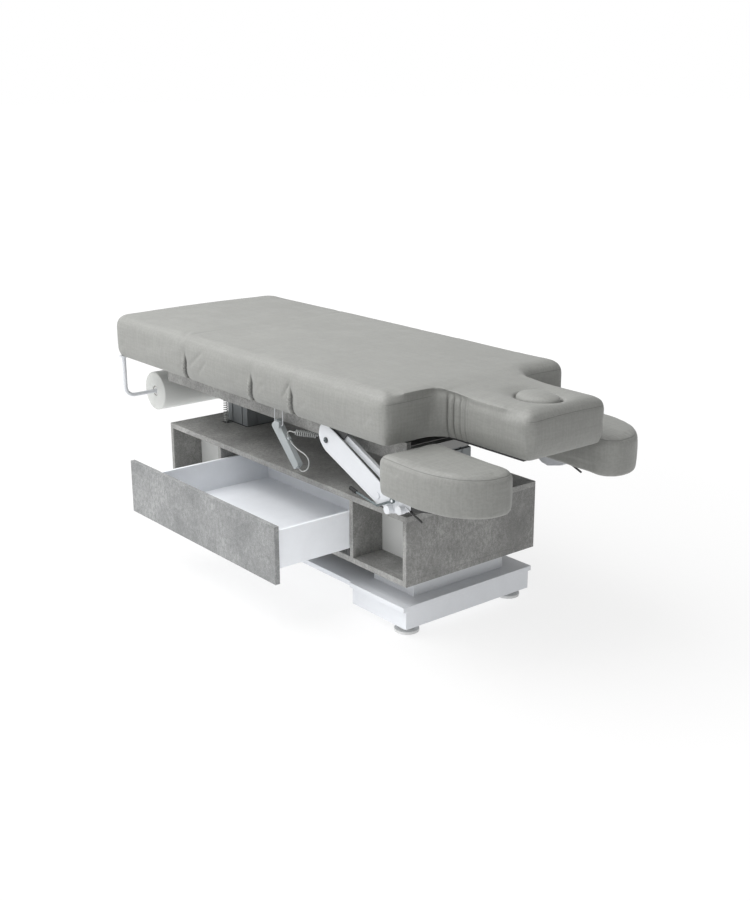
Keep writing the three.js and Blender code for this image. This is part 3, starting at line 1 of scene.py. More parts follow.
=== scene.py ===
"""Studio scene of a spa treatment bed on a cabinet base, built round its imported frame.

The upholstery, the cables, the paper roll and the small hardware are modelled here; the
cabinet, the base, the columns and the steelwork are the frame's own nodes with finishes.
"""

import json
import logging
import math
from contextlib import contextmanager
from dataclasses import dataclass, field
from enum import Enum
from typing import Callable, Iterator, Sequence

import bmesh
import bpy
import numpy as np
from mathutils import Matrix, Vector


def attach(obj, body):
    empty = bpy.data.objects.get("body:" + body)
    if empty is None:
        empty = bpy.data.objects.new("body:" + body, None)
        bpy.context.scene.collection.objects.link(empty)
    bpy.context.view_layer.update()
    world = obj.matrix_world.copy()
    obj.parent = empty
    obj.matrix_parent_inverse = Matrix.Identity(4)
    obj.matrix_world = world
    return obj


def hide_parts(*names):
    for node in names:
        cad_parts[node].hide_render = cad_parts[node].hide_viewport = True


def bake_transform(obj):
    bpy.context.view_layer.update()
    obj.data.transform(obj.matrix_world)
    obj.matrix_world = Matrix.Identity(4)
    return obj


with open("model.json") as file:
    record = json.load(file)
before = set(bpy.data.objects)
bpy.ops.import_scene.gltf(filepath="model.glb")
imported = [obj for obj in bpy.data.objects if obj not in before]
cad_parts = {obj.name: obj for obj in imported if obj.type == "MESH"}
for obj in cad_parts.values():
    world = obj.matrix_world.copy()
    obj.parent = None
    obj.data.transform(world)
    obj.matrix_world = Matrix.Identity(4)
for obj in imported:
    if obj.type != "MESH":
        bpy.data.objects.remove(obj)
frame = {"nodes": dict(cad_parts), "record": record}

LOG = logging.getLogger("spa_bed")
MM = 0.001
# From the middle of the cabinet, where the drawing starts, to the scene's origin.
SHIFT = Vector((-64.659, 82.5, 0.0))
# Places of the drawing, in millimetres.
KNEE_X = -420.0
THIGH_X = 20.0
BACK_X = 260.0
FOLDS_X = (KNEE_X, THIGH_X, BACK_X)
CABINET_FRONT_Y = -292.0
DIVIDER_BACK_Y = -180.0
ARM_PIVOTS = {"near": (673.4, 501.2), "far": (681.3, 520.2)}
SIDES = {"near": -1.0, "far": 1.0}
ROLL_CENTRE = (-940.0, 0.0, 512.0)
FACE_HOLE_X = 1010.0

Point = tuple[float, float, float]
Colour = tuple[float, float, float, float]
Socket = bpy.types.NodeSocket
Piece = bpy.types.Object
Body = bmesh.types.BMesh


def place(x: float, y: float, z: float) -> Vector:
    """A point of the bed's drawing, in millimetres from the cabinet's middle, in scene metres."""
    return (Vector((x, y, z)) + SHIFT) * MM


def drawing(coords: np.ndarray) -> np.ndarray:
    """Scene coordinates in metres as places of the bed's drawing, in millimetres."""
    return coords / MM - np.array(SHIFT)


def ramp(values: np.ndarray, start: float, end: float) -> np.ndarray:
    """Smooth step of the values, 0 at start and 1 at end.

    Args:
        values: Numbers to map.
        start: Value that gives 0.
        end: Value that gives 1, above or below start.

    Returns:
        The mapped numbers, each from 0 to 1.
    """
    share = np.clip((values - start) / (end - start), 0.0, 1.0)
    return share * share * (3.0 - 2.0 * share)


def bell(values: np.ndarray, width: float) -> np.ndarray:
    """1 where a value is nothing, falling to nothing on both sides."""
    return np.exp(-(values / width) ** 2)


def grey(value: float, tint: Point = (1.0, 1.0, 1.0)) -> Colour:
    """A grey of that linear value, tinted a little."""
    return (value * tint[0], value * tint[1], value * tint[2], 1.0)


def toned(colour: Colour, factor: float) -> Colour:
    """A colour made darker or paler, up to full white."""
    return tuple(min(1.0, c * factor) for c in colour[:3]) + (1.0,)


# --- Shader groups shared by the finishes ---


class Graph:
    """Adds and joins the nodes of one shader tree."""

    def __init__(self, tree: bpy.types.NodeTree) -> None:
        """Keeps the tree that is built."""
        self.tree = tree

    @classmethod
    def emptied(cls, owner: bpy.types.ID) -> "Graph":
        """The graph of a material or a world, with its first nodes taken out."""
        owner.use_nodes = True
        owner.node_tree.nodes.clear()
        return cls(owner.node_tree)

    def add(self, kind: str, **settings: object) -> bpy.types.Node:
        """A new node of that kind with those settings."""
        node = self.tree.nodes.new(kind)
        for name, value in settings.items():
            setattr(node, name, value)
        return node

    def feed(self, socket: Socket, value: object) -> None:
        """Joins a socket to the input, or writes the constant on it."""
        if isinstance(value, Socket):
            self.tree.links.new(value, socket)
        else:
            socket.default_value = value

    def through(self, kind: str, *values: object, **settings: object) -> bpy.types.Node:
        """A new node with its first inputs fed, in their order.

        Args:
            kind: Kind of the node.
            values: Sockets or constants for its inputs.
            settings: Its settings by name.

        Returns:
            The node.
        """
        node = self.add(kind, **settings)
        for socket, value in zip(node.inputs, values):
            self.feed(socket, value)
        return node

    def math(self, operation: str, *values: object, clamp: bool = False) -> Socket:
        """Result of a Math node, kept between 0 and 1 if clamped."""
        node = self.through("ShaderNodeMath", *values, operation=operation, use_clamp=clamp)
        return node.outputs[0]

    def times(self, first: object, second: object) -> Socket:
        """Product of two values."""
        return self.math("MULTIPLY", first, second)

    def plus(self, first: object, second: object, clamp: bool = False) -> Socket:
        """Sum of two values."""
        return self.math("ADD", first, second, clamp=clamp)

    def minus(self, first: object, second: object) -> Socket:
        """Difference of two values."""
        return self.math("SUBTRACT", first, second)

    def size(self, value: object) -> Socket:
        """A value without its sign."""
        return self.math("ABSOLUTE", value)

    def axes(self, vector: Socket) -> Sequence[Socket]:
        """The three numbers of a vector."""
        return self.through("ShaderNodeSeparateXYZ", vector).outputs

    def length(self, vector: Socket) -> Socket:
        """Length of a vector."""
        return self.through("ShaderNodeVectorMath", vector, operation="LENGTH").outputs["Value"]

    def span(self, value: object, low: float, high: float, to_low: float = 0.0,
             to_high: float = 1.0) -> Socket:
        """A value carried smoothly from one range to another."""
        return self.through("ShaderNodeMapRange", value, low, high, to_low, to_high,
                            interpolation_type="SMOOTHSTEP").outputs[0]

    def blend(self, share: object, first: object, second: object) -> Socket:
        """A colour between two, by a share from 0 to 1."""
        node = self.add("ShaderNodeMix", data_type="RGBA")
        for index, value in ((0, share), (6, first), (7, second)):
            self.feed(node.inputs[index], value)
        return node.outputs[2]

    def noise(self, vector: object, scale: object, detail: float = 3.0,
              roughness: float = 0.5) -> Socket:
        """Value of a fractal noise at a vector."""
        node = self.add("ShaderNodeTexNoise")
        for name, value in (("Vector", vector), ("Scale", scale), ("Detail", detail),
                            ("Roughness", roughness)):
            self.feed(node.inputs[name], value)
        return node.outputs[0]

    def stretched(self, vector: object, x: float, y: float, z: float) -> Socket:
        """A vector with each axis multiplied by its own number."""
        node = self.add("ShaderNodeMapping")
        self.feed(node.inputs["Vector"], vector)
        node.inputs["Scale"].default_value = (x, y, z)
        return node.outputs[0]

    def group(self, tree: bpy.types.NodeTree, **values: object) -> dict[str, Socket]:
        """The outputs of a shared group, by name, with its inputs fed by name."""
        node = self.add("ShaderNodeGroup", node_tree=tree)
        for name, value in values.items():
            self.feed(node.inputs[name], value)
        return {socket.name: socket for socket in node.outputs}


class SharedGroups:
    """The shader groups that more than one finish uses, each made once."""

    def __init__(self) -> None:
        """Makes every group."""
        self.cloud = self._cloud()
        self.linen = self._linen()
        self.grain = self._grain()
        self.seam = self._seam()
        self.handling = self._handling()

    @staticmethod
    def _start(name: str, numbers: str, outputs: str, colours: str = "",
               vector: bool = True) -> tuple[Graph, dict[str, Socket], dict[str, Socket]]:
        """Makes a group tree with its sockets.

        Args:
            name: Name of the group.
            numbers: Names of the inputs that are numbers.
            outputs: Names of the outputs.
            colours: Names of the inputs and outputs that are colours.
            vector: Whether it has an input for a place.

        Returns:
            The graph, its input sockets by name and its output sockets by name.
        """
        tree = bpy.data.node_groups.new(name, "ShaderNodeTree")
        tinted = colours.split()
        if vector:
            tree.interface.new_socket("Vector", in_out="INPUT", socket_type="NodeSocketVector")
        for way, labels in (("INPUT", numbers), ("OUTPUT", outputs)):
            for label in labels.split():
                kind = "NodeSocketColor" if label in tinted else "NodeSocketFloat"
                tree.interface.new_socket(label, in_out=way, socket_type=kind)
        graph = Graph(tree)
        entry = graph.add("NodeGroupInput")
        leave = graph.add("NodeGroupOutput")
        return graph, {s.name: s for s in entry.outputs}, {s.name: s for s in leave.inputs}

    def _cloud(self) -> bpy.types.NodeTree:
        """Blotches of two tones with finer speckle in them."""
        graph, ins, outs = self._start("cloudy tone", "Light Dark Size Spread", "Color Mask",
                                       colours="Light Dark Color")
        broad = graph.noise(ins["Vector"], ins["Size"], 6.0, 0.62)
        fine = graph.noise(ins["Vector"], graph.times(ins["Size"], 9.0), 5.0, 0.7)
        mixed = graph.plus(graph.times(broad, 0.72), graph.times(fine, 0.28))
        mask = graph.span(mixed, graph.minus(0.5, ins["Spread"]), graph.plus(0.5, ins["Spread"]))
        graph.feed(outs["Color"], graph.blend(mask, ins["Dark"], ins["Light"]))
        graph.feed(outs["Mask"], mask)
        return graph.tree

    def _linen(self) -> bpy.types.NodeTree:
        """Slubby threads along each axis, as in the embossing of a linen-look leatherette."""
        graph, ins, outs = self._start("linen threads", "Thread", "Height Slub")
        runs = [graph.stretched(ins["Vector"], *(0.07 if i == axis else 1.0 for i in range(3)))
                for axis in range(3)]
        slub_scale = graph.times(ins["Thread"], 0.22)
        for name, scale, detail, roughness in (("Height", ins["Thread"], 2.0, 0.5),
                                               ("Slub", slub_scale, 3.0, 0.6)):
            parts = [graph.noise(run, scale, detail, roughness) for run in runs]
            total = graph.plus(graph.plus(parts[0], parts[1]), parts[2])
            graph.feed(outs[name], graph.math("DIVIDE", total, 3.0))
        return graph.tree

    def _grain(self) -> bpy.types.NodeTree:
        """Fine moulded or sprayed grain as a height."""
        graph, ins, outs = self._start("fine grain", "Scale", "Height")
        coarse = graph.noise(ins["Vector"], ins["Scale"], 2.0, 0.5)
        fine = graph.noise(ins["Vector"], graph.times(ins["Scale"], 3.1), 2.0, 0.6)
        graph.feed(outs["Height"], graph.plus(graph.times(coarse, 0.6), graph.times(fine, 0.4)))
        return graph.tree

    def _seam(self) -> bpy.types.NodeTree:
        """Groove of a seam where a piece's seam attribute passes through nothing."""
        graph, ins, outs = self._start("seam line", "Distance Presence Run Width",
                                       "Groove Stitch", vector=False)
        row_offset, stitches_per_metre = 0.0042, 210.0
        inside = graph.span(graph.size(ins["Distance"]), ins["Width"],
                            graph.times(ins["Width"], 0.25))
        graph.feed(outs["Groove"], graph.times(inside, ins["Presence"]))
        row = graph.span(graph.size(graph.plus(ins["Distance"], row_offset)), 0.0008, 0.0003)
        beat = graph.math("FRACT", graph.times(ins["Run"], stitches_per_metre))
        dash = graph.span(graph.size(graph.minus(beat, 0.5)), 0.36, 0.28)
        graph.feed(outs["Stitch"], graph.times(graph.times(row, dash), ins["Presence"]))
        return graph.tree

    def _handling(self) -> bpy.types.NodeTree:
        """Soft smudges of a surface that hands and cloths have gone over."""
        graph, ins, outs = self._start("handling marks", "Size", "Mask")
        marks = graph.noise(graph.stretched(ins["Vector"], 1.0, 1.0, 0.45), ins["Size"], 5.0,
                            0.68)
        graph.feed(outs["Mask"], graph.span(marks, 0.42, 0.66))
        return graph.tree


# --- Finishes ---


class Canvas(Graph):
    """A finish's graph, with its shader, its coordinates and the shared groups."""

    def __init__(self, tree: bpy.types.NodeTree) -> None:
        """Adds the shader, the output and the coordinates."""
        super().__init__(tree)
        self.shader = self.add("ShaderNodeBsdfPrincipled")
        self.through("ShaderNodeOutputMaterial", self.shader.outputs["BSDF"])
        coordinates = self.add("ShaderNodeTexCoord").outputs
        self.where, self.normal = coordinates["Object"], coordinates["Normal"]

    def give(self, **values: object) -> None:
        """Feeds the shader's inputs, by names with _ for a space."""
        for name, value in values.items():
            self.feed(self.shader.inputs[name.replace("_", " ")], value)

    def wear(self, groups: SharedGroups, size: float, clean: float, rubbed: float) -> Socket:
        """Roughness from clean to rubbed by handling marks of that size."""
        worn = self.group(groups.handling, Vector=self.where, Size=size)
        return self.span(worn["Mask"], 0.0, 1.0, clean, rubbed)

    def relief(self, height: Socket, depth: float, strength: float) -> None:
        """Feeds the normal from a height, by its depth in metres and a share of it."""
        bump = self.add("ShaderNodeBump")
        for name, value in (("Strength", strength), ("Distance", depth), ("Height", height)):
            self.feed(bump.inputs[name], value)
        self.give(Normal=bump.outputs["Normal"])


@dataclass(frozen=True)
class Finish:
    """A finish with its main numbers; the subclasses give its pattern."""

    name: str
    colour: Colour
    roughness: float = 0.5
    metallic: float = 0.0

    def make(self, groups: SharedGroups) -> bpy.types.Material:
        """The finish as a node material.

        Args:
            groups: The shared shader groups.

        Returns:
            The new material.
        """
        material = bpy.data.materials.new(self.name)
        canvas = Canvas.emptied(material)
        canvas.give(Base_Color=self.colour, Roughness=self.roughness, Metallic=self.metallic)
        self.pattern(canvas, groups)
        material.diffuse_color = self.colour
        return material

    def pattern(self, canvas: Canvas, groups: SharedGroups) -> None:
        """Feeds the shader's colour, roughness and normal; the plain finish feeds none."""


@dataclass(frozen=True)
class Leatherette(Finish):
    """Linen-look leatherette with its seams and stitches."""

    seam_width: float = 0.0014

    def pattern(self, canvas: Canvas, groups: SharedGroups) -> None:
        """Threads, slubs, light soiling and the seams that the seam attribute carries, with
        painted shade in the seam grooves and in the creases that the crease attribute carries.
        """
        linen = canvas.group(groups.linen, Vector=canvas.where, Thread=620.0)
        tone = canvas.group(groups.cloud, Vector=canvas.where, Size=5.0, Spread=0.22,
                            Light=toned(self.colour, 1.06), Dark=toned(self.colour, 0.955))
        across, presence, run, crease = (
            canvas.add("ShaderNodeAttribute", attribute_name=name).outputs["Fac"]
            for name in ("seam", "seam_presence", "seam_run", "crease"))
        seam = canvas.group(groups.seam, Distance=across, Presence=presence, Run=run,
                            Width=self.seam_width)
        colour = tone["Color"]
        for share, factor in ((canvas.span(linen["Slub"], 0.42, 0.58, 0.26, 0.0), 0.62),
                              # painted shade in the seam groove
                              (canvas.times(seam["Groove"], 0.55), 0.42),
                              (canvas.times(seam["Stitch"], 0.55), 0.78),
                              # painted shade in the darts' creases and gathers and in the neck's
                              # pleats, from the crease attribute
                              (canvas.times(crease, 0.85), 0.2)):
            colour = canvas.blend(share, colour, toned(self.colour, factor))
        height = canvas.minus(canvas.times(linen["Height"], 0.35),
                              canvas.times(seam["Groove"], 2.6))
        height = canvas.plus(height, canvas.times(seam["Stitch"], 0.9))
        canvas.give(Base_Color=colour, Sheen_Weight=0.12, Sheen_Roughness=0.45,
                    Roughness=canvas.wear(groups, 6.0, self.roughness, self.roughness - 0.09))
        canvas.relief(height, 0.0005, 0.55)


@dataclass(frozen=True)
class ConcreteLaminate(Finish):
    """Concrete-look laminate, with its edge band on some faces of the boards."""

    dark: Colour = grey(0.16)
    band_faces: str = "front"
    band_lift: float = 1.16
    pale_behind: float | None = None
    pale: Colour = grey(0.62, (0.985, 1.0, 0.985))

    def pattern(self, canvas: Canvas, groups: SharedGroups) -> None:
        """Trowelled clouds, short smears, specks and pits, and the paler edge band."""
        where = canvas.where
        cloud = canvas.group(groups.cloud, Vector=where, Size=6.5, Spread=0.24,
                             Light=self.colour, Dark=self.dark)
        smear = canvas.noise(canvas.stretched(where, 1.0, 1.0, 0.75), 85.0, 8.0, 0.8)
        veins = canvas.noise(canvas.stretched(where, 1.2, 1.0, 0.55), 24.0, 7.0, 0.82)
        vein = canvas.span(canvas.size(canvas.minus(veins, 0.5)), 0.035, 0.0)
        speck = canvas.noise(where, 330.0, 4.0, 0.72)
        pit = canvas.span(canvas.noise(where, 240.0, 4.0, 0.75), 0.58, 0.68, 0.0, 0.45)
        colour = cloud["Color"]
        for share, other in ((canvas.span(smear, 0.45, 0.58, 0.0, 0.6), self.dark),
                             (canvas.times(vein, 0.42), toned(self.dark, 0.7)),
                             (canvas.span(speck, 0.52, 0.66, 0.0, 0.42),
                              toned(self.colour, 1.28)),
                             (pit, toned(self.dark, 0.5))):
            colour = canvas.blend(share, colour, other)
        facing = canvas.axes(canvas.normal)[1]
        depth = canvas.axes(where)[1]
        forward = canvas.math("LESS_THAN", facing, -0.9)
        if self.band_faces == "front":
            edge = canvas.times(forward, canvas.math("LESS_THAN", depth,
                                                     (CABINET_FRONT_Y + SHIFT.y) * MM))
        else:
            edge = canvas.math("LESS_THAN", canvas.size(facing), 0.5)
        lift = canvas.plus(1.0, canvas.times(edge, self.band_lift - 1.0))
        tone = canvas.add("ShaderNodeVectorMath", operation="SCALE")
        canvas.feed(tone.inputs[0], colour)
        canvas.feed(tone.inputs["Scale"], lift)
        skin = tone.outputs[0]
        if self.pale_behind is not None:
            behind = canvas.math("GREATER_THAN", depth, self.pale_behind)
            skin = canvas.blend(canvas.times(behind, forward), skin, self.pale)
        canvas.give(Base_Color=skin, Roughness=canvas.wear(
            groups, 4.0, self.roughness + 0.05, self.roughness - 0.08))
        canvas.relief(canvas.minus(canvas.times(smear, 0.5), pit), 0.0004, 0.5)


@dataclass(frozen=True)
class Moulded(Finish):
    """Moulded plastic or sprayed lacquer with a fine grain and faint smudges."""

    grain: float = 700.0
    relief: float = 0.0002
    mottle: float = 0.03

    def pattern(self, canvas: Canvas, groups: SharedGroups) -> None:
        """Grain in the normal, smudges in the gloss and a breath of tone."""
        grain = canvas.group(groups.grain, Vector=canvas.where, Scale=self.grain)
        canvas.give(Base_Color=self.tone(canvas, groups), Roughness=canvas.wear(
            groups, 18.0, self.roughness + 0.04, self.roughness - 0.07))
        canvas.relief(grain["Height"], self.relief, 0.5)

    def tone(self, canvas: Canvas, groups: SharedGroups) -> Socket:
        """The colour, a little mottled."""
        return canvas.group(
            groups.cloud, Vector=canvas.where, Size=14.0, Spread=0.25,
            Light=toned(self.colour, 1 + self.mottle),
            Dark=toned(self.colour, 1 - self.mottle))["Color"]


@dataclass(frozen=True)
class CoatWithPaintedShade(Moulded):
    """Powder coat with black painted shade beyond a place along the bed, where the carrier lies
    in shade under its pad.
    """

    split: float = 0.0
    # Black painted shade for the part of the carrier under the pad.
    beyond: Colour = grey(0.018)

    def tone(self, canvas: Canvas, groups: SharedGroups) -> Socket:
        """The mottled colour as far as the split, and black painted shade beyond it."""
        side = canvas.span(canvas.axes(canvas.where)[0], self.split - MM, self.split + MM)
        return canvas.blend(side, super().tone(canvas, groups), self.beyond)


@dataclass(frozen=True)
class Brushed(Finish):
    """Brushed or drawn metal, its hairlines along one axis."""

    along: str = "Z"

    def pattern(self, canvas: Canvas, groups: SharedGroups) -> None:
        """Hairlines in the tone, the gloss and the normal."""
        run = canvas.stretched(canvas.where,
                               *(0.02 if axis == self.along else 1.0 for axis in "XYZ"))
        lines = canvas.noise(run, 900.0, 3.0, 0.6)
        canvas.give(
            Base_Color=canvas.blend(canvas.span(lines, 0.3, 0.7), toned(self.colour, 0.88),
                                    toned(self.colour, 1.08)),
            Roughness=canvas.plus(
                canvas.span(lines, 0.3, 0.7, 0.0, 0.1),
                canvas.wear(groups, 22.0, self.roughness, self.roughness + 0.08)))
        canvas.relief(lines, 0.00012, 0.4)


@dataclass(frozen=True)
class CrepePaper(Finish):
    """Creped paper on a roll: fine wrinkles round it and layers at its ends."""

    axis: Point = (0.0, 0.0, 0.0)

    def pattern(self, canvas: Canvas, groups: SharedGroups) -> None:
        """Crepe wrinkles on the side and ring after ring of edges on the ends."""
        centred = canvas.add("ShaderNodeMapping")
        canvas.feed(centred.inputs["Vector"], canvas.where)
        centred.inputs["Location"].default_value = (-self.axis[0], 0.0, -self.axis[2])
        flat = canvas.stretched(centred.outputs[0], 1.0, 0.0, 1.0)
        layers_per_metre = 520.0
        rings = canvas.math("FRACT", canvas.times(canvas.length(flat), layers_per_metre))
        layer = canvas.noise(flat, 300.0, 2.0, 0.5)
        end = canvas.math("GREATER_THAN", canvas.size(canvas.axes(canvas.normal)[1]), 0.7)
        crepe = canvas.noise(canvas.stretched(canvas.where, 1.0, 0.12, 1.0), 800.0)
        ring_tone = canvas.times(canvas.times(canvas.span(rings, 0.25, 0.0), 0.6), end)
        soft = canvas.times(canvas.span(layer, 0.45, 0.65), 0.12)
        canvas.give(Base_Color=canvas.blend(canvas.plus(ring_tone, soft, clamp=True),
                                            self.colour, toned(self.colour, 0.8)))
        height = canvas.plus(canvas.times(rings, end),
                             canvas.times(crepe, canvas.minus(1.0, end)))
        canvas.relief(height, 0.0004, 0.5)


@dataclass
class FinishShelf:
    """Every finish of the bed, made once, by name."""

    groups: SharedGroups = field(default_factory=SharedGroups)
    made: dict[str, bpy.types.Material] = field(default_factory=dict)

    def specifications(self) -> list[Finish]:
        """The finishes with their colours, which are linear values."""
        cool, warm, neutral = (0.965, 0.99, 1.03), (1.0, 1.0, 0.97), (1.0, 1.0, 1.0)
        white_coat = (grey(0.66, cool), 0.36)
        carrier_length = 150.0
        finishes: list[Finish] = [
            Leatherette("grey leatherette", grey(0.262, (1.0, 1.01, 0.955)), 0.58),
            ConcreteLaminate("concrete laminate", grey(0.37, warm), 0.62,
                             dark=grey(0.16, warm)),
            ConcreteLaminate("concrete shelf", grey(0.39, warm), 0.62, dark=grey(0.17, warm),
                             pale_behind=place(0.0, DIVIDER_BACK_Y, 0.0).y),
            # A paler copy of the laminate for the cabinet top: painted light, lifting the top out
            # of the shade under the mattress.
            ConcreteLaminate("concrete worktop", grey(0.47, warm), 0.62,
                             dark=grey(0.21, warm), band_lift=0.95),
            ConcreteLaminate("concrete drawer front", grey(0.36, (0.985, 1.0, 1.0)), 0.62,
                             dark=grey(0.17, (0.97, 1.0, 1.01)), band_faces="sides"),
            Brushed("bright zinc", grey(0.55, (0.97, 1.0, 1.02)), 0.3, 1.0, along="X"),
            Brushed("dark chrome", grey(0.2, (0.86, 1.0, 1.02)), 0.24, 1.0, along="X"),
            Brushed("anodised aluminium", grey(0.26, (0.94, 1.0, 1.03)), 0.42, 0.55),
            Moulded("grey board", grey(0.3, (1.0, 0.96, 0.88)), 0.85, grain=350.0, mottle=0.08),
            CrepePaper("creped paper", grey(0.66, (0.985, 1.0, 0.975)), 0.9,
                       axis=tuple(place(*ROLL_CENTRE)))]
        for name, value, tint, roughness, grain, relief in (
                ("white base plastic", 0.7, cool, 0.42, 700.0, 0.0002),
                ("white drawer foil", 0.9, cool, 0.38, 420.0, 0.0002),
                ("foot plastic", 0.6, (0.99, 1.0, 0.99), 0.55, 500.0, 0.0002),
                ("white powder coat", 0.66, cool, 0.36, 900.0, 0.0003),
                ("grey powder coat", 0.3, (1.0, 1.0, 0.98), 0.45, 900.0, 0.0003),
                ("dark powder coat", 0.05, cool, 0.5, 900.0, 0.0004),
                ("black plastic", 0.018, neutral, 0.48, 600.0, 0.0004),
                ("handset plastic", 0.4, (0.93, 1.0, 1.02), 0.46, 1100.0, 0.0002),
                ("cable jacket", 0.42, (0.97, 1.0, 0.98), 0.4, 1500.0, 0.0002),
                ("grip rubber", 0.012, neutral, 0.6, 1300.0, 0.0005),
                ("key plastic", 0.14, (0.9, 1.0, 1.1), 0.5, 1100.0, 0.0002)):
            finishes.append(Moulded(name, grey(value, tint), roughness, grain=grain,
                                    relief=relief))
        # Each carrier is black beyond its bosses: painted shade under the pad.
        for side, (pivot_x, _) in ARM_PIVOTS.items():
            finishes.append(CoatWithPaintedShade(f"{side} carrier coats", *white_coat, grain=900.0,
                                     relief=0.0003,
                                     split=place(pivot_x + carrier_length, 0.0, 0.0).x))
        return finishes

    def fill(self) -> None:
        """Makes every finish."""
        for finish in self.specifications():
            self.made[finish.name] = finish.make(self.groups)

    def put(self, obj: Piece, name: str) -> None:
        """Gives an object one finish."""
        obj.data.materials.clear()
        obj.data.materials.append(self.made[name])


class Slot(Enum):
    """Material slots of the record."""

    UPHOLSTERY = "upholstery"
    CONCRETE = "concrete_laminate"
    WHITE_PLASTIC = "white_plastic"
    DRAWER = "drawer_white"
    FOOT = "foot_plastic"
    WHITE_STEEL = "white_steel"
    FRAME_STEEL = "frame_steel"
    BRIGHT_STEEL = "bright_steel"
    ALUMINIUM = "column_aluminium"
    BLACK = "black_plastic"
    HANDSET = "handset_plastic"
    KEY = "key_plastic"
    CORD = "cord_plastic"
    PAPER = "paper"


FINISH_OF_SLOT: dict[Slot, str] = {
    Slot.UPHOLSTERY: "grey leatherette",
    Slot.CONCRETE: "concrete laminate",
    Slot.WHITE_PLASTIC: "white base plastic",
    Slot.DRAWER: "white drawer foil",
    Slot.FOOT: "foot plastic",
    Slot.WHITE_STEEL: "white powder coat",
    Slot.FRAME_STEEL: "dark powder coat",
    Slot.BRIGHT_STEEL: "bright zinc",
    Slot.ALUMINIUM: "anodised aluminium",
    Slot.BLACK: "black plastic",
    Slot.HANDSET: "handset plastic",
    Slot.KEY: "key plastic",
    Slot.CORD: "cable jacket",
    Slot.PAPER: "creped paper",
}


# --- Mesh work ---


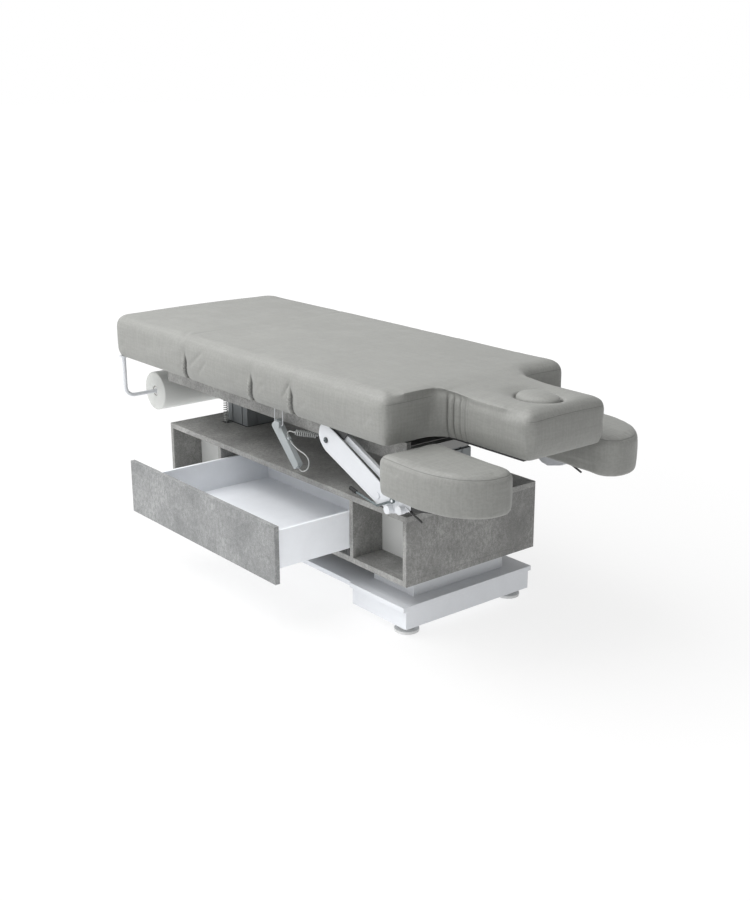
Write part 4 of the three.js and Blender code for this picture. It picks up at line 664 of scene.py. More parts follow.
class MeshWork:
    """Steps that several pieces share."""

    ARC_STEPS = 8
    LARGEST_FACE = 4

    @staticmethod
    def finished(name: str, bm: Body, smooth: bool = True, sharp_degrees: float = 55.0) -> Piece:
        """Turns a bmesh into an object of the scene.

        Args:
            name: Name of the piece.
            bm: Its bmesh, which is freed.
            smooth: Whether its faces are shaded smooth.
            sharp_degrees: Angle above which an edge stays sharp.

        Returns:
            The object, at the origin.
        """
        bmesh.ops.recalc_face_normals(bm, faces=bm.faces[:])
        mesh = bpy.data.meshes.new(name)
        bm.to_mesh(mesh)
        bm.free()
        obj = bpy.data.objects.new(name, mesh)
        bpy.context.scene.collection.objects.link(obj)
        if smooth:
            mesh.shade_smooth()
            mesh.set_sharp_from_angle(angle=math.radians(sharp_degrees))
        return obj

    @staticmethod
    def discarded(obj: Piece) -> None:
        """Deletes an object with its mesh."""
        mesh = obj.data
        bpy.data.objects.remove(obj)
        bpy.data.meshes.remove(mesh)

    @staticmethod
    @contextmanager
    def editing(obj: Piece) -> Iterator[Body]:
        """A bmesh of an object's mesh, written back at the end of the block."""
        bm = bmesh.new()
        bm.from_mesh(obj.data)
        yield bm
        bm.to_mesh(obj.data)
        bm.free()
        obj.data.update()

    @staticmethod
    def profile(low: float, high: float, bottom: float, top: float) -> list[tuple[float, float]]:
        """Heights and insets of a side wall with rounded edges.

        Args:
            low: Height of the underside.
            high: Height of the top.
            bottom: Radius of the bottom edge.
            top: Radius of the top edge.

        Returns:
            Pairs of height and inset, from the bottom up, in millimetres.
        """
        turns = [math.radians(15 * k) for k in range(7)]
        under = [(low + bottom * (1 - math.cos(t)), bottom * (1 - math.sin(t))) for t in turns]
        over = [(high - top * (1 - math.sin(t)), top * (1 - math.cos(t))) for t in turns]
        return under + over

    @classmethod
    def square_corners(cls, corners: Sequence[Point], inset: float) -> list[Point]:
        """Outline with straight sides along the axes and rounded corners, drawn in evenly.

        Args:
            corners: x, y and radius of each corner, against the clock seen from above.
            inset: How far the outline is drawn in.

        Returns:
            x and y of the outline's points.
        """
        loop = []
        for i, (x, y, radius) in enumerate(corners):
            to_last = Vector(corners[i - 1][:2]) - Vector((x, y))
            to_next = Vector(corners[(i + 1) % len(corners)][:2]) - Vector((x, y))
            last, ahead = to_last.normalized(), to_next.normalized()
            hollow = last.cross(ahead) > 0
            shift = (last + ahead) * (-inset if hollow else inset)
            reach = radius + inset if hollow else max(radius - inset, 0.5)
            middle = Vector((x, y)) + shift + (last + ahead) * reach
            for k in range(cls.ARC_STEPS + 1):
                angle = math.pi / 2 * k / cls.ARC_STEPS
                loop.append(tuple(middle - ahead * (reach * math.cos(angle))
                                  - last * (reach * math.sin(angle))))
        return loop

    @staticmethod
    def walled(bm: Body, rings: Sequence[Sequence[bmesh.types.BMVert]]) -> None:
        """Joins each ring of vertices to the next with quads."""
        for low, high in zip(rings, rings[1:]):
            for k in range(len(low)):
                n = (k + 1) % len(low)
                bm.faces.new((low[k], low[n], high[n], high[k]))

    @classmethod
    def stacked(cls, levels: Sequence[tuple[float, Sequence[Sequence[float]]]]) -> Body:
        """A closed body from outlines at rising heights, all with as many points.

        Args:
            levels: Height and outline of each level, in drawing millimetres.

        Returns:
            The body in scene metres.
        """
        bm = bmesh.new()
        rings = [[bm.verts.new(place(x, y, z)) for x, y in loop] for z, loop in levels]
        cls.walled(bm, rings)
        bm.faces.new(reversed(rings[0]))
        bm.faces.new(rings[-1])
        bmesh.ops.triangulate(bm, faces=[f for f in bm.faces if len(f.verts) > cls.LARGEST_FACE])
        bmesh.ops.recalc_face_normals(bm, faces=bm.faces[:])
        return bm

    @staticmethod
    def sized(bm: Body, middle: Vector, size: Sequence[float]) -> None:
        """Gives a unit shape its size along the axes and puts its middle in place."""
        turn = Matrix.Translation(middle) @ Matrix.Diagonal((*size, 1.0))
        bmesh.ops.transform(bm, matrix=turn, verts=bm.verts[:])

    @classmethod
    def oval_block(cls, middle: Vector, half: tuple[float, float], height: float) -> Body:
        """An upright block with an oval plan.

        Args:
            middle: Its middle, in scene metres.
            half: Its half length and half width in millimetres.
            height: Its height in metres.

        Returns:
            The block, with 64 segments.
        """
        bm = bmesh.new()
        bmesh.ops.create_cone(bm, cap_ends=True, segments=64, radius1=1.0, radius2=1.0, depth=1.0)
        cls.sized(bm, middle, (half[0] * MM, half[1] * MM, height))
        return bm

    @staticmethod
    def evaluated(obj: Piece) -> None:
        """Applies an object's modifiers to its mesh."""
        graph = bpy.context.evaluated_depsgraph_get()
        graph.update()
        fresh = bpy.data.meshes.new_from_object(obj.evaluated_get(graph))
        old = obj.data
        name = old.name
        obj.modifiers.clear()
        obj.data = fresh
        bpy.data.meshes.remove(old)
        fresh.name = name

    @classmethod
    def modified(cls, obj: Piece, kind: str, **settings: object) -> None:
        """Puts one modifier with those settings on an object and applies it."""
        step = obj.modifiers.new(kind.lower(), kind)
        for name, value in settings.items():
            setattr(step, name, value)
        cls.evaluated(obj)

    @classmethod
    def remeshed(cls, obj: Piece, voxel: float) -> None:
        """Rebuilds a mesh from even quads of that size in millimetres."""
        cls.modified(obj, "REMESH", mode="VOXEL", voxel_size=voxel * MM, use_smooth_shade=True)

    @classmethod
    def subdivided(cls, obj: Piece) -> None:
        """Subdivides a mesh smoothly, once."""
        cls.modified(obj, "SUBSURF", levels=1, render_levels=1)

    @classmethod
    def carved(cls, obj: Piece, cutter: Piece) -> None:
        """Takes a cutter's volume out of a mesh and deletes the cutter."""
        cls.modified(obj, "BOOLEAN", operation="DIFFERENCE", solver="EXACT", object=cutter)
        cls.discarded(cutter)

    @staticmethod
    def vectors(mesh: bpy.types.Mesh, name: str) -> np.ndarray:
        """One vector of each vertex of a mesh, by the name of its property."""
        flat = np.empty(len(mesh.vertices) * 3, np.float64)
        mesh.vertices.foreach_get(name, flat)
        return flat.reshape(-1, 3)

    @classmethod
    def coords(cls, obj: Piece) -> np.ndarray:
        """Vertex places of a mesh, in metres."""
        return cls.vectors(obj.data, "co")

    @classmethod
    def normals(cls, obj: Piece) -> np.ndarray:
        """Vertex normals of a mesh."""
        return cls.vectors(obj.data, "normal")

    @staticmethod
    def set_coords(obj: Piece, coords: np.ndarray) -> None:
        """Moves a mesh's vertices to those places."""
        obj.data.vertices.foreach_set("co", coords.astype(np.float32).ravel())
        obj.data.update()

    @classmethod
    def relaxed(cls, obj: Piece, rounds: int) -> None:
        """Smooths a mesh a little, to take out the voxel steps."""
        with cls.editing(obj) as bm:
            for _ in range(rounds):
                bmesh.ops.smooth_vert(bm, verts=bm.verts[:], factor=0.5, use_axis_x=True,
                                      use_axis_y=True, use_axis_z=True)

    @classmethod
    def refined(cls, obj: Piece, inside: Callable[[Vector], bool]) -> None:
        """Halves the edges that lie in a region.

        Args:
            obj: The mesh's object.
            inside: Whether a place, in drawing millimetres, lies in the region.
        """
        with cls.editing(obj) as bm:
            marked = {v for v in bm.verts if inside(v.co / MM - SHIFT)}
            edges = [e for e in bm.edges if e.verts[0] in marked and e.verts[1] in marked]
            bmesh.ops.subdivide_edges(bm, edges=edges, cuts=1, use_grid_fill=True)

    @staticmethod
    def attribute(obj: Piece, name: str, values: np.ndarray) -> None:
        """Writes one number on each vertex."""
        layer = obj.data.attributes.get(name) or obj.data.attributes.new(name, "FLOAT", "POINT")
        layer.data.foreach_set("value", values.astype(np.float32))

    @classmethod
    def sewn(cls, obj: Piece, distance: np.ndarray, presence: np.ndarray,
             run: np.ndarray) -> None:
        """Writes where a seam runs on a piece.

        Args:
            obj: The piece.
            distance: Distance of each vertex from the seam, in metres, with its sign.
            presence: From 0 to 1, how much of the seam shows there.
            run: Place along the seam, in metres.
        """
        for name, values in (("seam", distance), ("seam_presence", presence), ("seam_run", run)):
            cls.attribute(obj, name, values)

    @staticmethod
    def lathed(profile: Sequence[tuple[float, float]], axis: Vector, centre: Vector,
               steps: int) -> Body:
        """Spins a profile round an axis.

        Args:
            profile: Radius and height along the axis of each point, in millimetres.
            axis: Unit vector of the axis.
            centre: Point of the axis at height nothing, in scene metres.
            steps: Segments round the axis.

        Returns:
            The spun shape, its doubles merged.
        """
        bm = bmesh.new()
        marks = [bm.verts.new((r * MM, 0.0, h * MM)) for r, h in profile]
        edges = [bm.edges.new(pair) for pair in zip(marks, marks[1:])]
        bmesh.ops.spin(bm, geom=marks + edges, cent=(0, 0, 0), axis=(0, 0, 1), dvec=(0, 0, 0),
                       angle=2 * math.pi, steps=steps, use_merge=True, use_duplicate=False)
        bmesh.ops.remove_doubles(bm, verts=bm.verts[:], dist=1e-6)
        turn = Vector((0, 0, 1)).rotation_difference(axis).to_matrix().to_4x4()
        bmesh.ops.transform(bm, matrix=Matrix.Translation(centre) @ turn, verts=bm.verts[:])
        return bm


@dataclass(frozen=True)
class Swelling:
    """How a padded form is blown up in its cover."""

    cap: float
    pressure: float = 4.0
    frames: int = 20
    mass: float = 0.35
    stretch_stiffness: float = 18.0
    bending_stiffness: float = 2.0

    def run(self, obj: Piece, hold: np.ndarray) -> None:
        """Swells the mesh by a cloth simulation, each point by the cap at most.

        Args:
            obj: The mesh's object.
            hold: From 0, free, to 1, held, for each vertex.
        """
        scene = bpy.context.scene
        rest = MeshWork.coords(obj)
        group = obj.vertex_groups.new(name="hold")
        for step in (0.25, 0.5, 0.75, 1.0):
            chosen = np.nonzero(np.abs(hold - step) <= 0.125)[0].tolist()
            if chosen:
                group.add(chosen, step, "REPLACE")
        cloth = obj.modifiers.new("swell", "CLOTH")
        settings = cloth.settings
        settings.quality = 4
        settings.mass = self.mass
        settings.use_pressure = True
        settings.uniform_pressure_force = self.pressure
        settings.effector_weights.gravity = 0.0
        settings.vertex_group_mass = "hold"
        settings.tension_stiffness = self.stretch_stiffness
        settings.compression_stiffness = self.stretch_stiffness
        settings.bending_stiffness = self.bending_stiffness
        cloth.collision_settings.use_collision = False
        scene.frame_start, scene.frame_end = 1, self.frames
        cloth.point_cache.frame_start, cloth.point_cache.frame_end = 1, self.frames
        for number in range(1, self.frames + 1):
            scene.frame_set(number)
        graph = bpy.context.evaluated_depsgraph_get()
        move = MeshWork.vectors(obj.evaluated_get(graph).data, "co") - rest
        length = np.linalg.norm(move, axis=1, keepdims=True)
        limit = self.cap * MM
        eased = limit * np.tanh(length / limit)
        move = move * np.where(length > 1e-9, eased / np.maximum(length, 1e-9), 0.0)
        obj.modifiers.remove(cloth)
        obj.vertex_groups.clear()
        scene.frame_set(1)
        MeshWork.set_coords(obj, rest + move * (1.0 - hold)[:, None])
        LOG.info("%s swelled by up to %.1f mm", obj.name, float(eased.max() / MM))


# --- Camera, floor and light ---


@dataclass
class Studio:
    """Camera at the photograph's place, a pale floor and plain soft light."""

    azimuth: float = 50.991
    elevation: float = 16.757
    roll: float = -0.1846
    lens: float = 50.741
    eye: Point = (3.56095, -2.68047, 1.79545)
    floor_size: float = 60.0
    floor_grey: float = 0.82
    floor_glow: float = 1.06
    glow_reach: tuple[float, float] = (1.5, 3.2)
    glow_share: tuple[float, float] = (0.74, 1.0)
    fill_reach: tuple[float, float] = (1.0, 2.2)
    sky_front: float = 0.98
    sky_back: float = 0.24
    sky_way: tuple[float, float] = (-0.45, -0.89)
    sky_turn: float = 0.8
    gloss_lift: float = 0.25
    floor_fill: float = 0.15
    base_fill: float = 0.6

    def build(self) -> None:
        """Makes the camera, the floor, the world and the lamps."""
        self.camera()
        self.floor()
        self.world()
        self.lamps()

    def camera(self) -> None:
        """Puts the camera where the photograph was taken from."""
        a, e, r = (math.radians(v) for v in (self.azimuth, self.elevation, self.roll))
        ahead = Vector((-math.sin(a) * math.cos(e), math.cos(a) * math.cos(e), -math.sin(e)))
        right = Vector((math.cos(a), math.sin(a), 0.0))
        up = right.cross(ahead)
        tilted = right * math.cos(r) + up * math.sin(r)
        over = up * math.cos(r) - right * math.sin(r)
        data = bpy.data.cameras.new("camera")
        data.sensor_width = 36.0
        data.lens = self.lens
        data.clip_start, data.clip_end = 0.05, 200.0
        camera = bpy.data.objects.new("camera", data)
        turn = Matrix((tilted, over, -ahead)).transposed().to_4x4()
        camera.matrix_world = Matrix.Translation(Vector(self.eye)) @ turn
        bpy.context.scene.collection.objects.link(camera)
        bpy.context.scene.camera = camera
        bpy.context.scene.view_settings.view_transform = "Standard"

    @staticmethod
    def seen(graph: Graph, *rays: str) -> Socket:
        """1 for the rays of those kinds, and 0 for the others."""
        path = graph.add("ShaderNodeLightPath").outputs
        total = path[rays[0]]
        for ray in rays[1:]:
            total = graph.plus(total, path[ray], clamp=True)
        return total

    def floor(self) -> None:
        """A plane, white to the camera, that keeps the bed's shadow and lights it from below."""
        bm = bmesh.new()
        bmesh.ops.create_grid(bm, x_segments=1, y_segments=1, size=self.floor_size)
        floor = MeshWork.finished("floor", bm, smooth=False)
        material = bpy.data.materials.new("pale floor")
        graph = Graph.emptied(material)
        paint = graph.through("ShaderNodeBsdfDiffuse", (*(self.floor_grey,) * 3, 1.0))
        glow = graph.add("ShaderNodeEmission")
        graph.feed(glow.inputs["Strength"], self.floor_glow)
        seen = self.seen(graph, "Is Camera Ray", "Is Glossy Ray", "Is Transmission Ray")
        reach = graph.length(graph.add("ShaderNodeTexCoord").outputs["Object"])
        share = graph.times(seen, graph.span(reach, *self.glow_reach, *self.glow_share))
        mix = graph.through("ShaderNodeMixShader", share, paint.outputs[0], glow.outputs[0])
        near = graph.span(reach, *self.fill_reach, self.base_fill, self.floor_fill)
        fill = graph.add("ShaderNodeEmission")
        graph.feed(fill.inputs["Strength"], graph.times(graph.minus(1.0, seen), near))
        total = graph.through("ShaderNodeAddShader", mix.outputs[0], fill.outputs[0])
        graph.through("ShaderNodeOutputMaterial", total.outputs[0])
        floor.data.materials.append(material)

    def world(self) -> None:
        """A grey sky, brighter in front, that the camera sees as white and gloss brighter."""
        world = bpy.data.worlds.new("studio")
        graph = Graph.emptied(world)
        seen = self.seen(graph, "Is Camera Ray", "Is Transmission Ray")
        apart = graph.axes(graph.add("ShaderNodeTexCoord").outputs["Generated"])
        across = graph.plus(graph.times(apart[0], self.sky_way[0]),
                            graph.times(apart[1], self.sky_way[1]))
        sky = graph.span(across, -self.sky_turn, self.sky_turn, self.sky_back, self.sky_front)
        level = graph.plus(seen, graph.times(sky, graph.minus(1.0, seen)))
        gloss = graph.times(self.seen(graph, "Is Glossy Ray"), self.gloss_lift)
        background = graph.through("ShaderNodeBackground", (1.0, 1.0, 1.0, 1.0),
                                   graph.plus(level, gloss))
        graph.through("ShaderNodeOutputWorld", background.outputs[0])
        bpy.context.scene.world = world

    def lamps(self) -> None:
        """A broad lamp above and a softer one at the near side's foot end."""
        for name, spot, aim, size, power in (
                ("overhead", (-0.8, -1.5, 4.0), (0.0, 0.0, 0.5), 4.0, 165.0),
                ("near side", (-1.0, -4.6, 2.2), (0.0, 0.0, 0.4), 3.0, 6.0)):
            data = bpy.data.lights.new(name, "AREA")
            data.shape = "SQUARE"
            data.size = size
            data.energy = power
            lamp = bpy.data.objects.new(name, data)
            lamp.location = spot
            way = Vector(aim) - Vector(spot)
            lamp.rotation_euler = way.to_track_quat("-Z", "Y").to_euler()
            bpy.context.scene.collection.objects.link(lamp)


# --- Cables ---


@dataclass
class CurlyCables:
    """The handset's cord with its curls, and the curly cable beside the foot column."""

    shelf: FinishShelf
    cord_radius: float = 2.25
    lift_radius: float = 1.9
    turn_points: int = 16
    ring_points: int = 12
    spans: int = 3
    loop_y: float = -330.0
    # x and height of the cord's loop, from the handset up to the curls.
    loop: tuple[tuple[float, float], ...] = (
        (205.9, 470.6), (209, 467.3), (214.5, 464.4), (222.5, 463.8), (232, 466.5), (245, 473),
        (256, 483), (262.5, 496), (263, 509), (256, 520), (243, 528), (228, 532), (213, 534.5),
        (199, 538), (187, 542), (177, 546.2), (168.5, 550), (160.4, 554.7), (154.9, 560.5),
        (149.4, 566.3), (143.9, 572.1), (139.8, 577), (139.8, 583), (144, 588.8),
        (151.5, 592.6), (160, 594.3), (168, 594.5), (174.9, 594.5))
    socket_end: tuple[Point, ...] = (
        (228, -255.6, 580.8), (233.2, -253.2, 582.8), (235.5, -252.2, 586.0), (236, -252, 590.7))
    lift_spot: tuple[float, float] = (-600.0, -114.0)
    lift_heights: tuple[float, float] = (418.0, 619.7)

    def smooth_line(self, route: Sequence[Point]) -> list[Vector]:
        """Centripetal spline through the route's points.

        Args:
            route: Points in drawing millimetres.

        Returns:
            The spline's points, in drawing millimetres.
        """
        points = [Vector(p) for p in route]
        ends = [points[0] * 2 - points[1], *points, points[-1] * 2 - points[-2]]
        line: list[Vector] = []
        for i in range(1, len(ends) - 2):
            p0, p1, p2, p3 = ends[i - 1:i + 3]
            d0, d1, d2 = (max((b - a).length, 1e-6) ** 0.5
                          for a, b in ((p0, p1), (p1, p2), (p2, p3)))
            t1 = ((p1 - p0) / d0 - (p2 - p0) / (d0 + d1) + (p2 - p1) / d1) * d1
            t2 = ((p2 - p1) / d1 - (p3 - p1) / (d1 + d2) + (p3 - p2) / d2) * d1
            for k in range(self.spans):
                t = k / self.spans
                line.append(p1 + t1 * t + (3 * (p2 - p1) - 2 * t1 - t2) * t * t
                            + (2 * (p1 - p2) + t1 + t2) * t ** 3)
        line.append(points[-1])
        return line

    def curls(self, start: Point, end: Point, radius: float, turns: int) -> list[Vector]:
        """Helix between two points, narrow at its ends.

        Args:
            start: First point of the axis, in drawing millimetres.
            end: Last point of the axis.
            radius: Radius of the curls' centreline.
            turns: Number of turns.

        Returns:
            The helix's points, in drawing millimetres.
        """
        first, last = Vector(start), Vector(end)
        axis = (last - first).normalized()
        side = Vector((0, 0, 1)).cross(axis)
        if side.length < 0.3:
            side = Vector((1, 0, 0))
        side.normalize()
        other = axis.cross(side)
        points = []
        for i in range(turns * self.turn_points + 1):
            turn = i / self.turn_points
            reach = radius * max(min(1.0, turn, turns - turn), 1 / 8)
            angle = 2 * math.pi * turn
            points.append(first.lerp(last, turn / turns)
                          + side * (reach * math.cos(angle)) + other * (reach * math.sin(angle)))
        return points

    def tube(self, name: str, line: Sequence[Vector], radius: float) -> Piece:
        """A round tube along a line, closed at both ends.

        Args:
            name: Name of the piece.
            line: Its centreline, in drawing millimetres.
            radius: Its radius in millimetres.

        Returns:
            The tube's object.
        """
        path = [place(*p) for p in line]
        bm = bmesh.new()
        normal = Vector((0, 0, 1))
        rings = []
        for i, point in enumerate(path):
            ahead = (path[min(i + 1, len(path) - 1)] - path[max(i - 1, 0)]).normalized()
            normal = normal - ahead * normal.dot(ahead)
            if normal.length < 1e-3:
                normal = Vector((1, 0, 0)) - ahead * ahead.x
            normal.normalize()
            turn = Matrix((ahead.cross(normal), normal, ahead)).transposed().to_4x4()
            made = bmesh.ops.create_circle(
                bm, cap_ends=i in (0, len(path) - 1), segments=self.ring_points,
                radius=radius * MM, matrix=Matrix.Translation(point) @ turn)
            rings.append(made["verts"])
        MeshWork.walled(bm, rings)
        obj = MeshWork.finished(name, bm)
        self.shelf.put(obj, "cable jacket")
        return obj

    @staticmethod
    def length(line: Sequence[Vector]) -> float:
        """Length of a line in metres."""
        return sum((b - a).length for a, b in zip(line, line[1:])) * MM

    def build(self) -> None:
        """Makes both cables, hides the frame's cable nodes and logs their lengths."""
        route = [(x, self.loop_y, z) for x, z in self.loop]
        line = self.smooth_line(route)
        line += [Vector((179.3, self.loop_y, 594.5))]
        line += self.curls((180.5, self.loop_y, 594.5), (221, -259, 580), 9.2, 12)
        line += [Vector(point) for point in self.socket_end]
        cord = self.tube("handset_cord_visual", line, self.cord_radius)
        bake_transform(cord)
        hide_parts("handset_cord", "handset_curl")
        self.length(line)
        LOG.info("handset cord %.3f m", self.length(line))
        low, high = self.lift_heights
        foot, foot_straight, foot_curl, head_curl, head_straight, head = (
            Vector((*self.lift_spot, z))
            for z in (low, low + 4.5, low + 9, high - 9, high - 4.5, high))
        rise = [foot, foot_straight, *self.curls(foot_curl, head_curl, 7.8, 20),
                head_straight, head]
        cable = self.tube("lift_cable_visual", rise, self.lift_radius)
        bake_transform(cable)
        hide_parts("lift_cable")
        self.length(rise)
        LOG.info("lift cable %.3f m", self.length(rise))


# --- Upholstery ---


@dataclass(frozen=True)
class Darts:
    """The darts in the mattress's long sides, with their lips, small gathers and painted shade.

    Widths, depths and offsets are in millimetres; each pair of heights is where a form
    starts to show and where it is full.
    """

    # Place of each dart along the bed and how much its line leans.
    lines: tuple[tuple[float, float], ...] = ((KNEE_X, 0.05), (THIGH_X, 0.02), (BACK_X, 0.09))
    upright_z: float = 735.0
    hook: float = 14.0
    hook_z: float = 752.0
    hook_height: float = 62.0
    hollow_depth: float = 3.0
    hollow_width: float = 26.0
    hollow_z: tuple[float, float] = (846.0, 780.0)
    crease_depth: float = 8.5
    crease_headward: float = 13.0
    crease_footward: float = 1.5
    crease_z: tuple[float, float] = (794.0, 742.0)
    lip_rise: float = 5.0
    lip_offset: float = 8.0
    lip_width: float = 7.0
    lip_z: tuple[float, float] = (790.0, 730.0)
    gather_depth: float = 2.8
    gather_offset: float = 10.0
    gather_width: float = 9.0
    gather_pitch: float = 14.0
    gather_z: tuple[float, float] = (762.0, 738.0)
    gather_low_z: tuple[float, float] = (690.0, 704.0)
    # Painted shade: a dark line along each crease and dark bands beside the gathers.
    line_width: float = 1.8
    line_z: tuple[float, float] = (786.0, 748.0)
    shade_offset: float = 9.0
    shade_width: float = 7.0
    shade_share: float = 0.75
    shade_z: tuple[float, float] = (758.0, 736.0)
    shade_low_z: tuple[float, float] = (692.0, 702.0)

    def distances(self, at: np.ndarray) -> list[np.ndarray]:
        """Distance from each dart's line, towards the head, at each place."""
        x, _, z = at.T
        tuck = self.hook * np.clip((self.hook_z - z) / self.hook_height, 0, 1) ** 1.3
        return [x - line_x - (self.upright_z - z) * lean + tuck for line_x, lean in self.lines]

    def waves(self, z: np.ndarray, d: np.ndarray) -> np.ndarray:
        """The gathers' waves down the wall, from -1 to 1, at a distance from a line."""
        return np.sin(2 * math.pi * (z + 0.5 * d) / self.gather_pitch)

    def shade(self, at: np.ndarray) -> np.ndarray:
        """How much painted shade each place gets in a dart's crease or in a gather beside it."""
        z = at[:, 2]
        shade = np.zeros(len(at))
        for d in self.distances(at):
            line = bell(d, self.line_width) * ramp(z, *self.line_z)
            gather = ramp(self.waves(z, d), 0.55, 0.95)
            gather *= bell(d + self.shade_offset, self.shade_width)
            gather *= ramp(z, *self.shade_z) * ramp(z, *self.shade_low_z)
            shade += np.maximum(line, self.shade_share * gather)
        return np.clip(shade, 0, 1)

    def depth(self, at: np.ndarray) -> np.ndarray:
        """Depth of the darts at each place, less their lips and with their gathers."""
        z = at[:, 2]
        depth = np.zeros(len(at))
        for d in self.distances(at):
            hollow = self.hollow_depth * bell(d, self.hollow_width) * ramp(z, *self.hollow_z)
            open_side = (np.exp(-np.maximum(d, 0) / self.crease_headward)
                         * np.exp(np.minimum(d, 0) / self.crease_footward))
            crease = self.crease_depth * open_side * ramp(z, *self.crease_z)
            lip = self.lip_rise * bell(d + self.lip_offset, self.lip_width)
            lip *= ramp(z, *self.lip_z)
            gathers = self.gather_depth * np.clip(self.waves(z, d), -0.6, 1.0)
            gathers *= bell(d + self.gather_offset, self.gather_width)
            gathers *= ramp(z, *self.gather_z) * ramp(z, *self.gather_low_z)
            depth += hollow + crease - lip + gathers
        return depth


@dataclass
class Mattress:
    """The long mattress with its darts, its neck pleats and its face opening."""

    shelf: FinishShelf
    low: float = 681.0
    high: float = 849.0
    foot: float = -997.0
    shoulder: float = 756.0
    head: float = 1145.0
    half_width: float = 400.0
    head_half_width: float = 174.0
    neck_radius: float = 62.0
    crown: float = 5.0
    head_drop: float = 14.0
    side_tuck: float = 13.0
    tuck_height: float = 58.0
    hole_x: float = FACE_HOLE_X
    hole_half: tuple[float, float] = (83.0, 62.0)
    hole_mean: float = 72.0
    rim_round: float = 13.0
    rim_share: float = 0.8
    dimple_depth: float = 5.5
    dimple_width: float = 30.0
    dimple_slope: float = 0.55
    dimple_reach: float = 110.0
    slack: float = 0.5
    foot_corner: float = 66.0
    end_corner: float = 30.0
    top_round: float = 38.0
    voxel: float = 11.0
    cuts: tuple[float, float] = (-200.0, 92.0)
    darts: Darts = Darts()
    # Place along the neck's wall and depth of each pleat.
    pleats: tuple[tuple[float, float], ...] = ((-25.0, 6.4), (-2.0, 7.2), (27.0, 5.6),
                                               (51.0, 3.8))
    pleat_width: float = 3.4
    pleat_z: tuple[float, float] = (836.0, 808.0)
    pleat_lip: float = 1.7
    pleat_lip_offset: float = 10.0
    pleat_lip_width: float = 5.0
    # Painted shade in the neck's pleats.
    pleat_shade_share: float = 0.4
    pleat_shade_width: float = 1.9
    pleat_shade_z: tuple[float, float] = (830.0, 804.0)
    seam_drop: float = 29.0
    side_wall: float = 330.0
    neck_reach: float = 190.0
    # x and height of each slack fold's two ends, its depth and its width.
    folds: tuple[tuple[float, ...], ...] = (
        (-388.0, 738.0, -292.0, 806.0, 3.0, 7.0), (-330.0, 716.0, -262.0, 776.0, 2.2, 7.0),
        (212.0, 736.0, 250.0, 790.0, 3.6, 6.0), (-470.0, 716.0, -434.0, 742.0, 1.6, 6.0),
        (44.0, 718.0, 112.0, 768.0, 1.7, 8.0), (292.0, 712.0, 356.0, 752.0, 1.6, 8.0),
        (-940.0, 712.0, -868.0, 768.0, 1.3, 11.0), (-180.0, 704.0, -60.0, 742.0, 1.2, 10.0),
        (470.0, 706.0, 590.0, 738.0, 1.4, 11.0), (640.0, 728.0, 700.0, 782.0, 1.3, 9.0))

    def block(self) -> Piece:
        """The foam body with its face opening, before it is blown up."""
        s = self.slack
        near = [(self.foot + s, -self.half_width + s, self.foot_corner),
                (self.shoulder - s, -self.half_width + s, self.end_corner),
                (self.shoulder - s, -self.head_half_width + s, self.neck_radius + s),
                (self.head - s, -self.head_half_width + s, self.end_corner)]
        corners = near + [(x, -y, r) for x, y, r in reversed(near)]
        bm = MeshWork.stacked([
            (z, MeshWork.square_corners(corners, inset))
            for z, inset in MeshWork.profile(self.low, self.high - s, 11.0, self.top_round)])
        body = MeshWork.finished("mattress_body", bm)
        cut = MeshWork.oval_block(place(self.hole_x, 0, 760), self.hole_half, 0.4)
        MeshWork.carved(body, MeshWork.finished("hole_cutter", cut))
        MeshWork.remeshed(body, self.voxel)
        MeshWork.relaxed(body, 1)
        return body

    def neck_run(self, at: np.ndarray) -> np.ndarray:
        """Distance along the wall from the end of the neck's fillet, in millimetres."""
        centre_x = self.shoulder + self.neck_radius
        centre_y = self.head_half_width + self.neck_radius
        back = centre_x - at[:, 0]
        side = centre_y - np.abs(at[:, 1])
        angle = np.arctan2(side, np.maximum(back, 1e-6))
        return np.where(back > 0, (angle - math.pi / 2) * self.neck_radius, -back)

    def crowned(self, body: Piece) -> None:
        """Gives the flat block its crown, its falling head and its tucked underside."""
        co = MeshWork.coords(body)
        normal = MeshWork.normals(body)
        at = drawing(co)
        x, y, z = at.T
        share = ramp(z, self.low + 40.0, self.high - 20.0)
        width = np.where(x > self.shoulder + 30, self.head_half_width, self.half_width)
        fall = self.head_drop * ramp(x, self.shoulder - 52.0, self.shoulder + self.neck_reach)
        arch = self.crown * np.clip(np.abs(y) / width, 0, 1) ** 2
        co[:, 2] -= (fall + arch) * share * MM
        tuck = self.side_tuck * np.clip(1 - (z - self.low) / self.tuck_height, 0, 1) ** 2
        in_hole = self.hole_share(at) < 1.2
        sideways = np.where(in_hole, 0.0, tuck)[:, None] * normal * np.array([1, 1, 0])
        MeshWork.set_coords(body, co - sideways * MM)

    def hole_share(self, at: np.ndarray) -> np.ndarray:
        """Place in the face opening's ellipse: 1 on its wall, more outside it."""
        return np.hypot((at[:, 0] - self.hole_x) / self.hole_half[0],
                        at[:, 1] / self.hole_half[1])

    def held(self, body: Piece) -> np.ndarray:
        """How far each vertex is held while the form is blown up."""
        at = drawing(MeshWork.coords(body))
        under = 1 - ramp(at[:, 2], self.low + 14.0, self.low + 46.0)
        darts = np.zeros(len(at))
        for x in FOLDS_X:
            near = bell(at[:, 0] - x, 14.0)
            darts = np.maximum(darts, near * (np.abs(at[:, 1]) > 360))
        neck = bell(self.neck_run(at), 45.0) * self.on_neck(at)
        opening = ramp(self.hole_share(at), 1.35, 1.05)
        return np.clip(np.max([under, darts, 0.8 * neck, opening], axis=0), 0, 1)

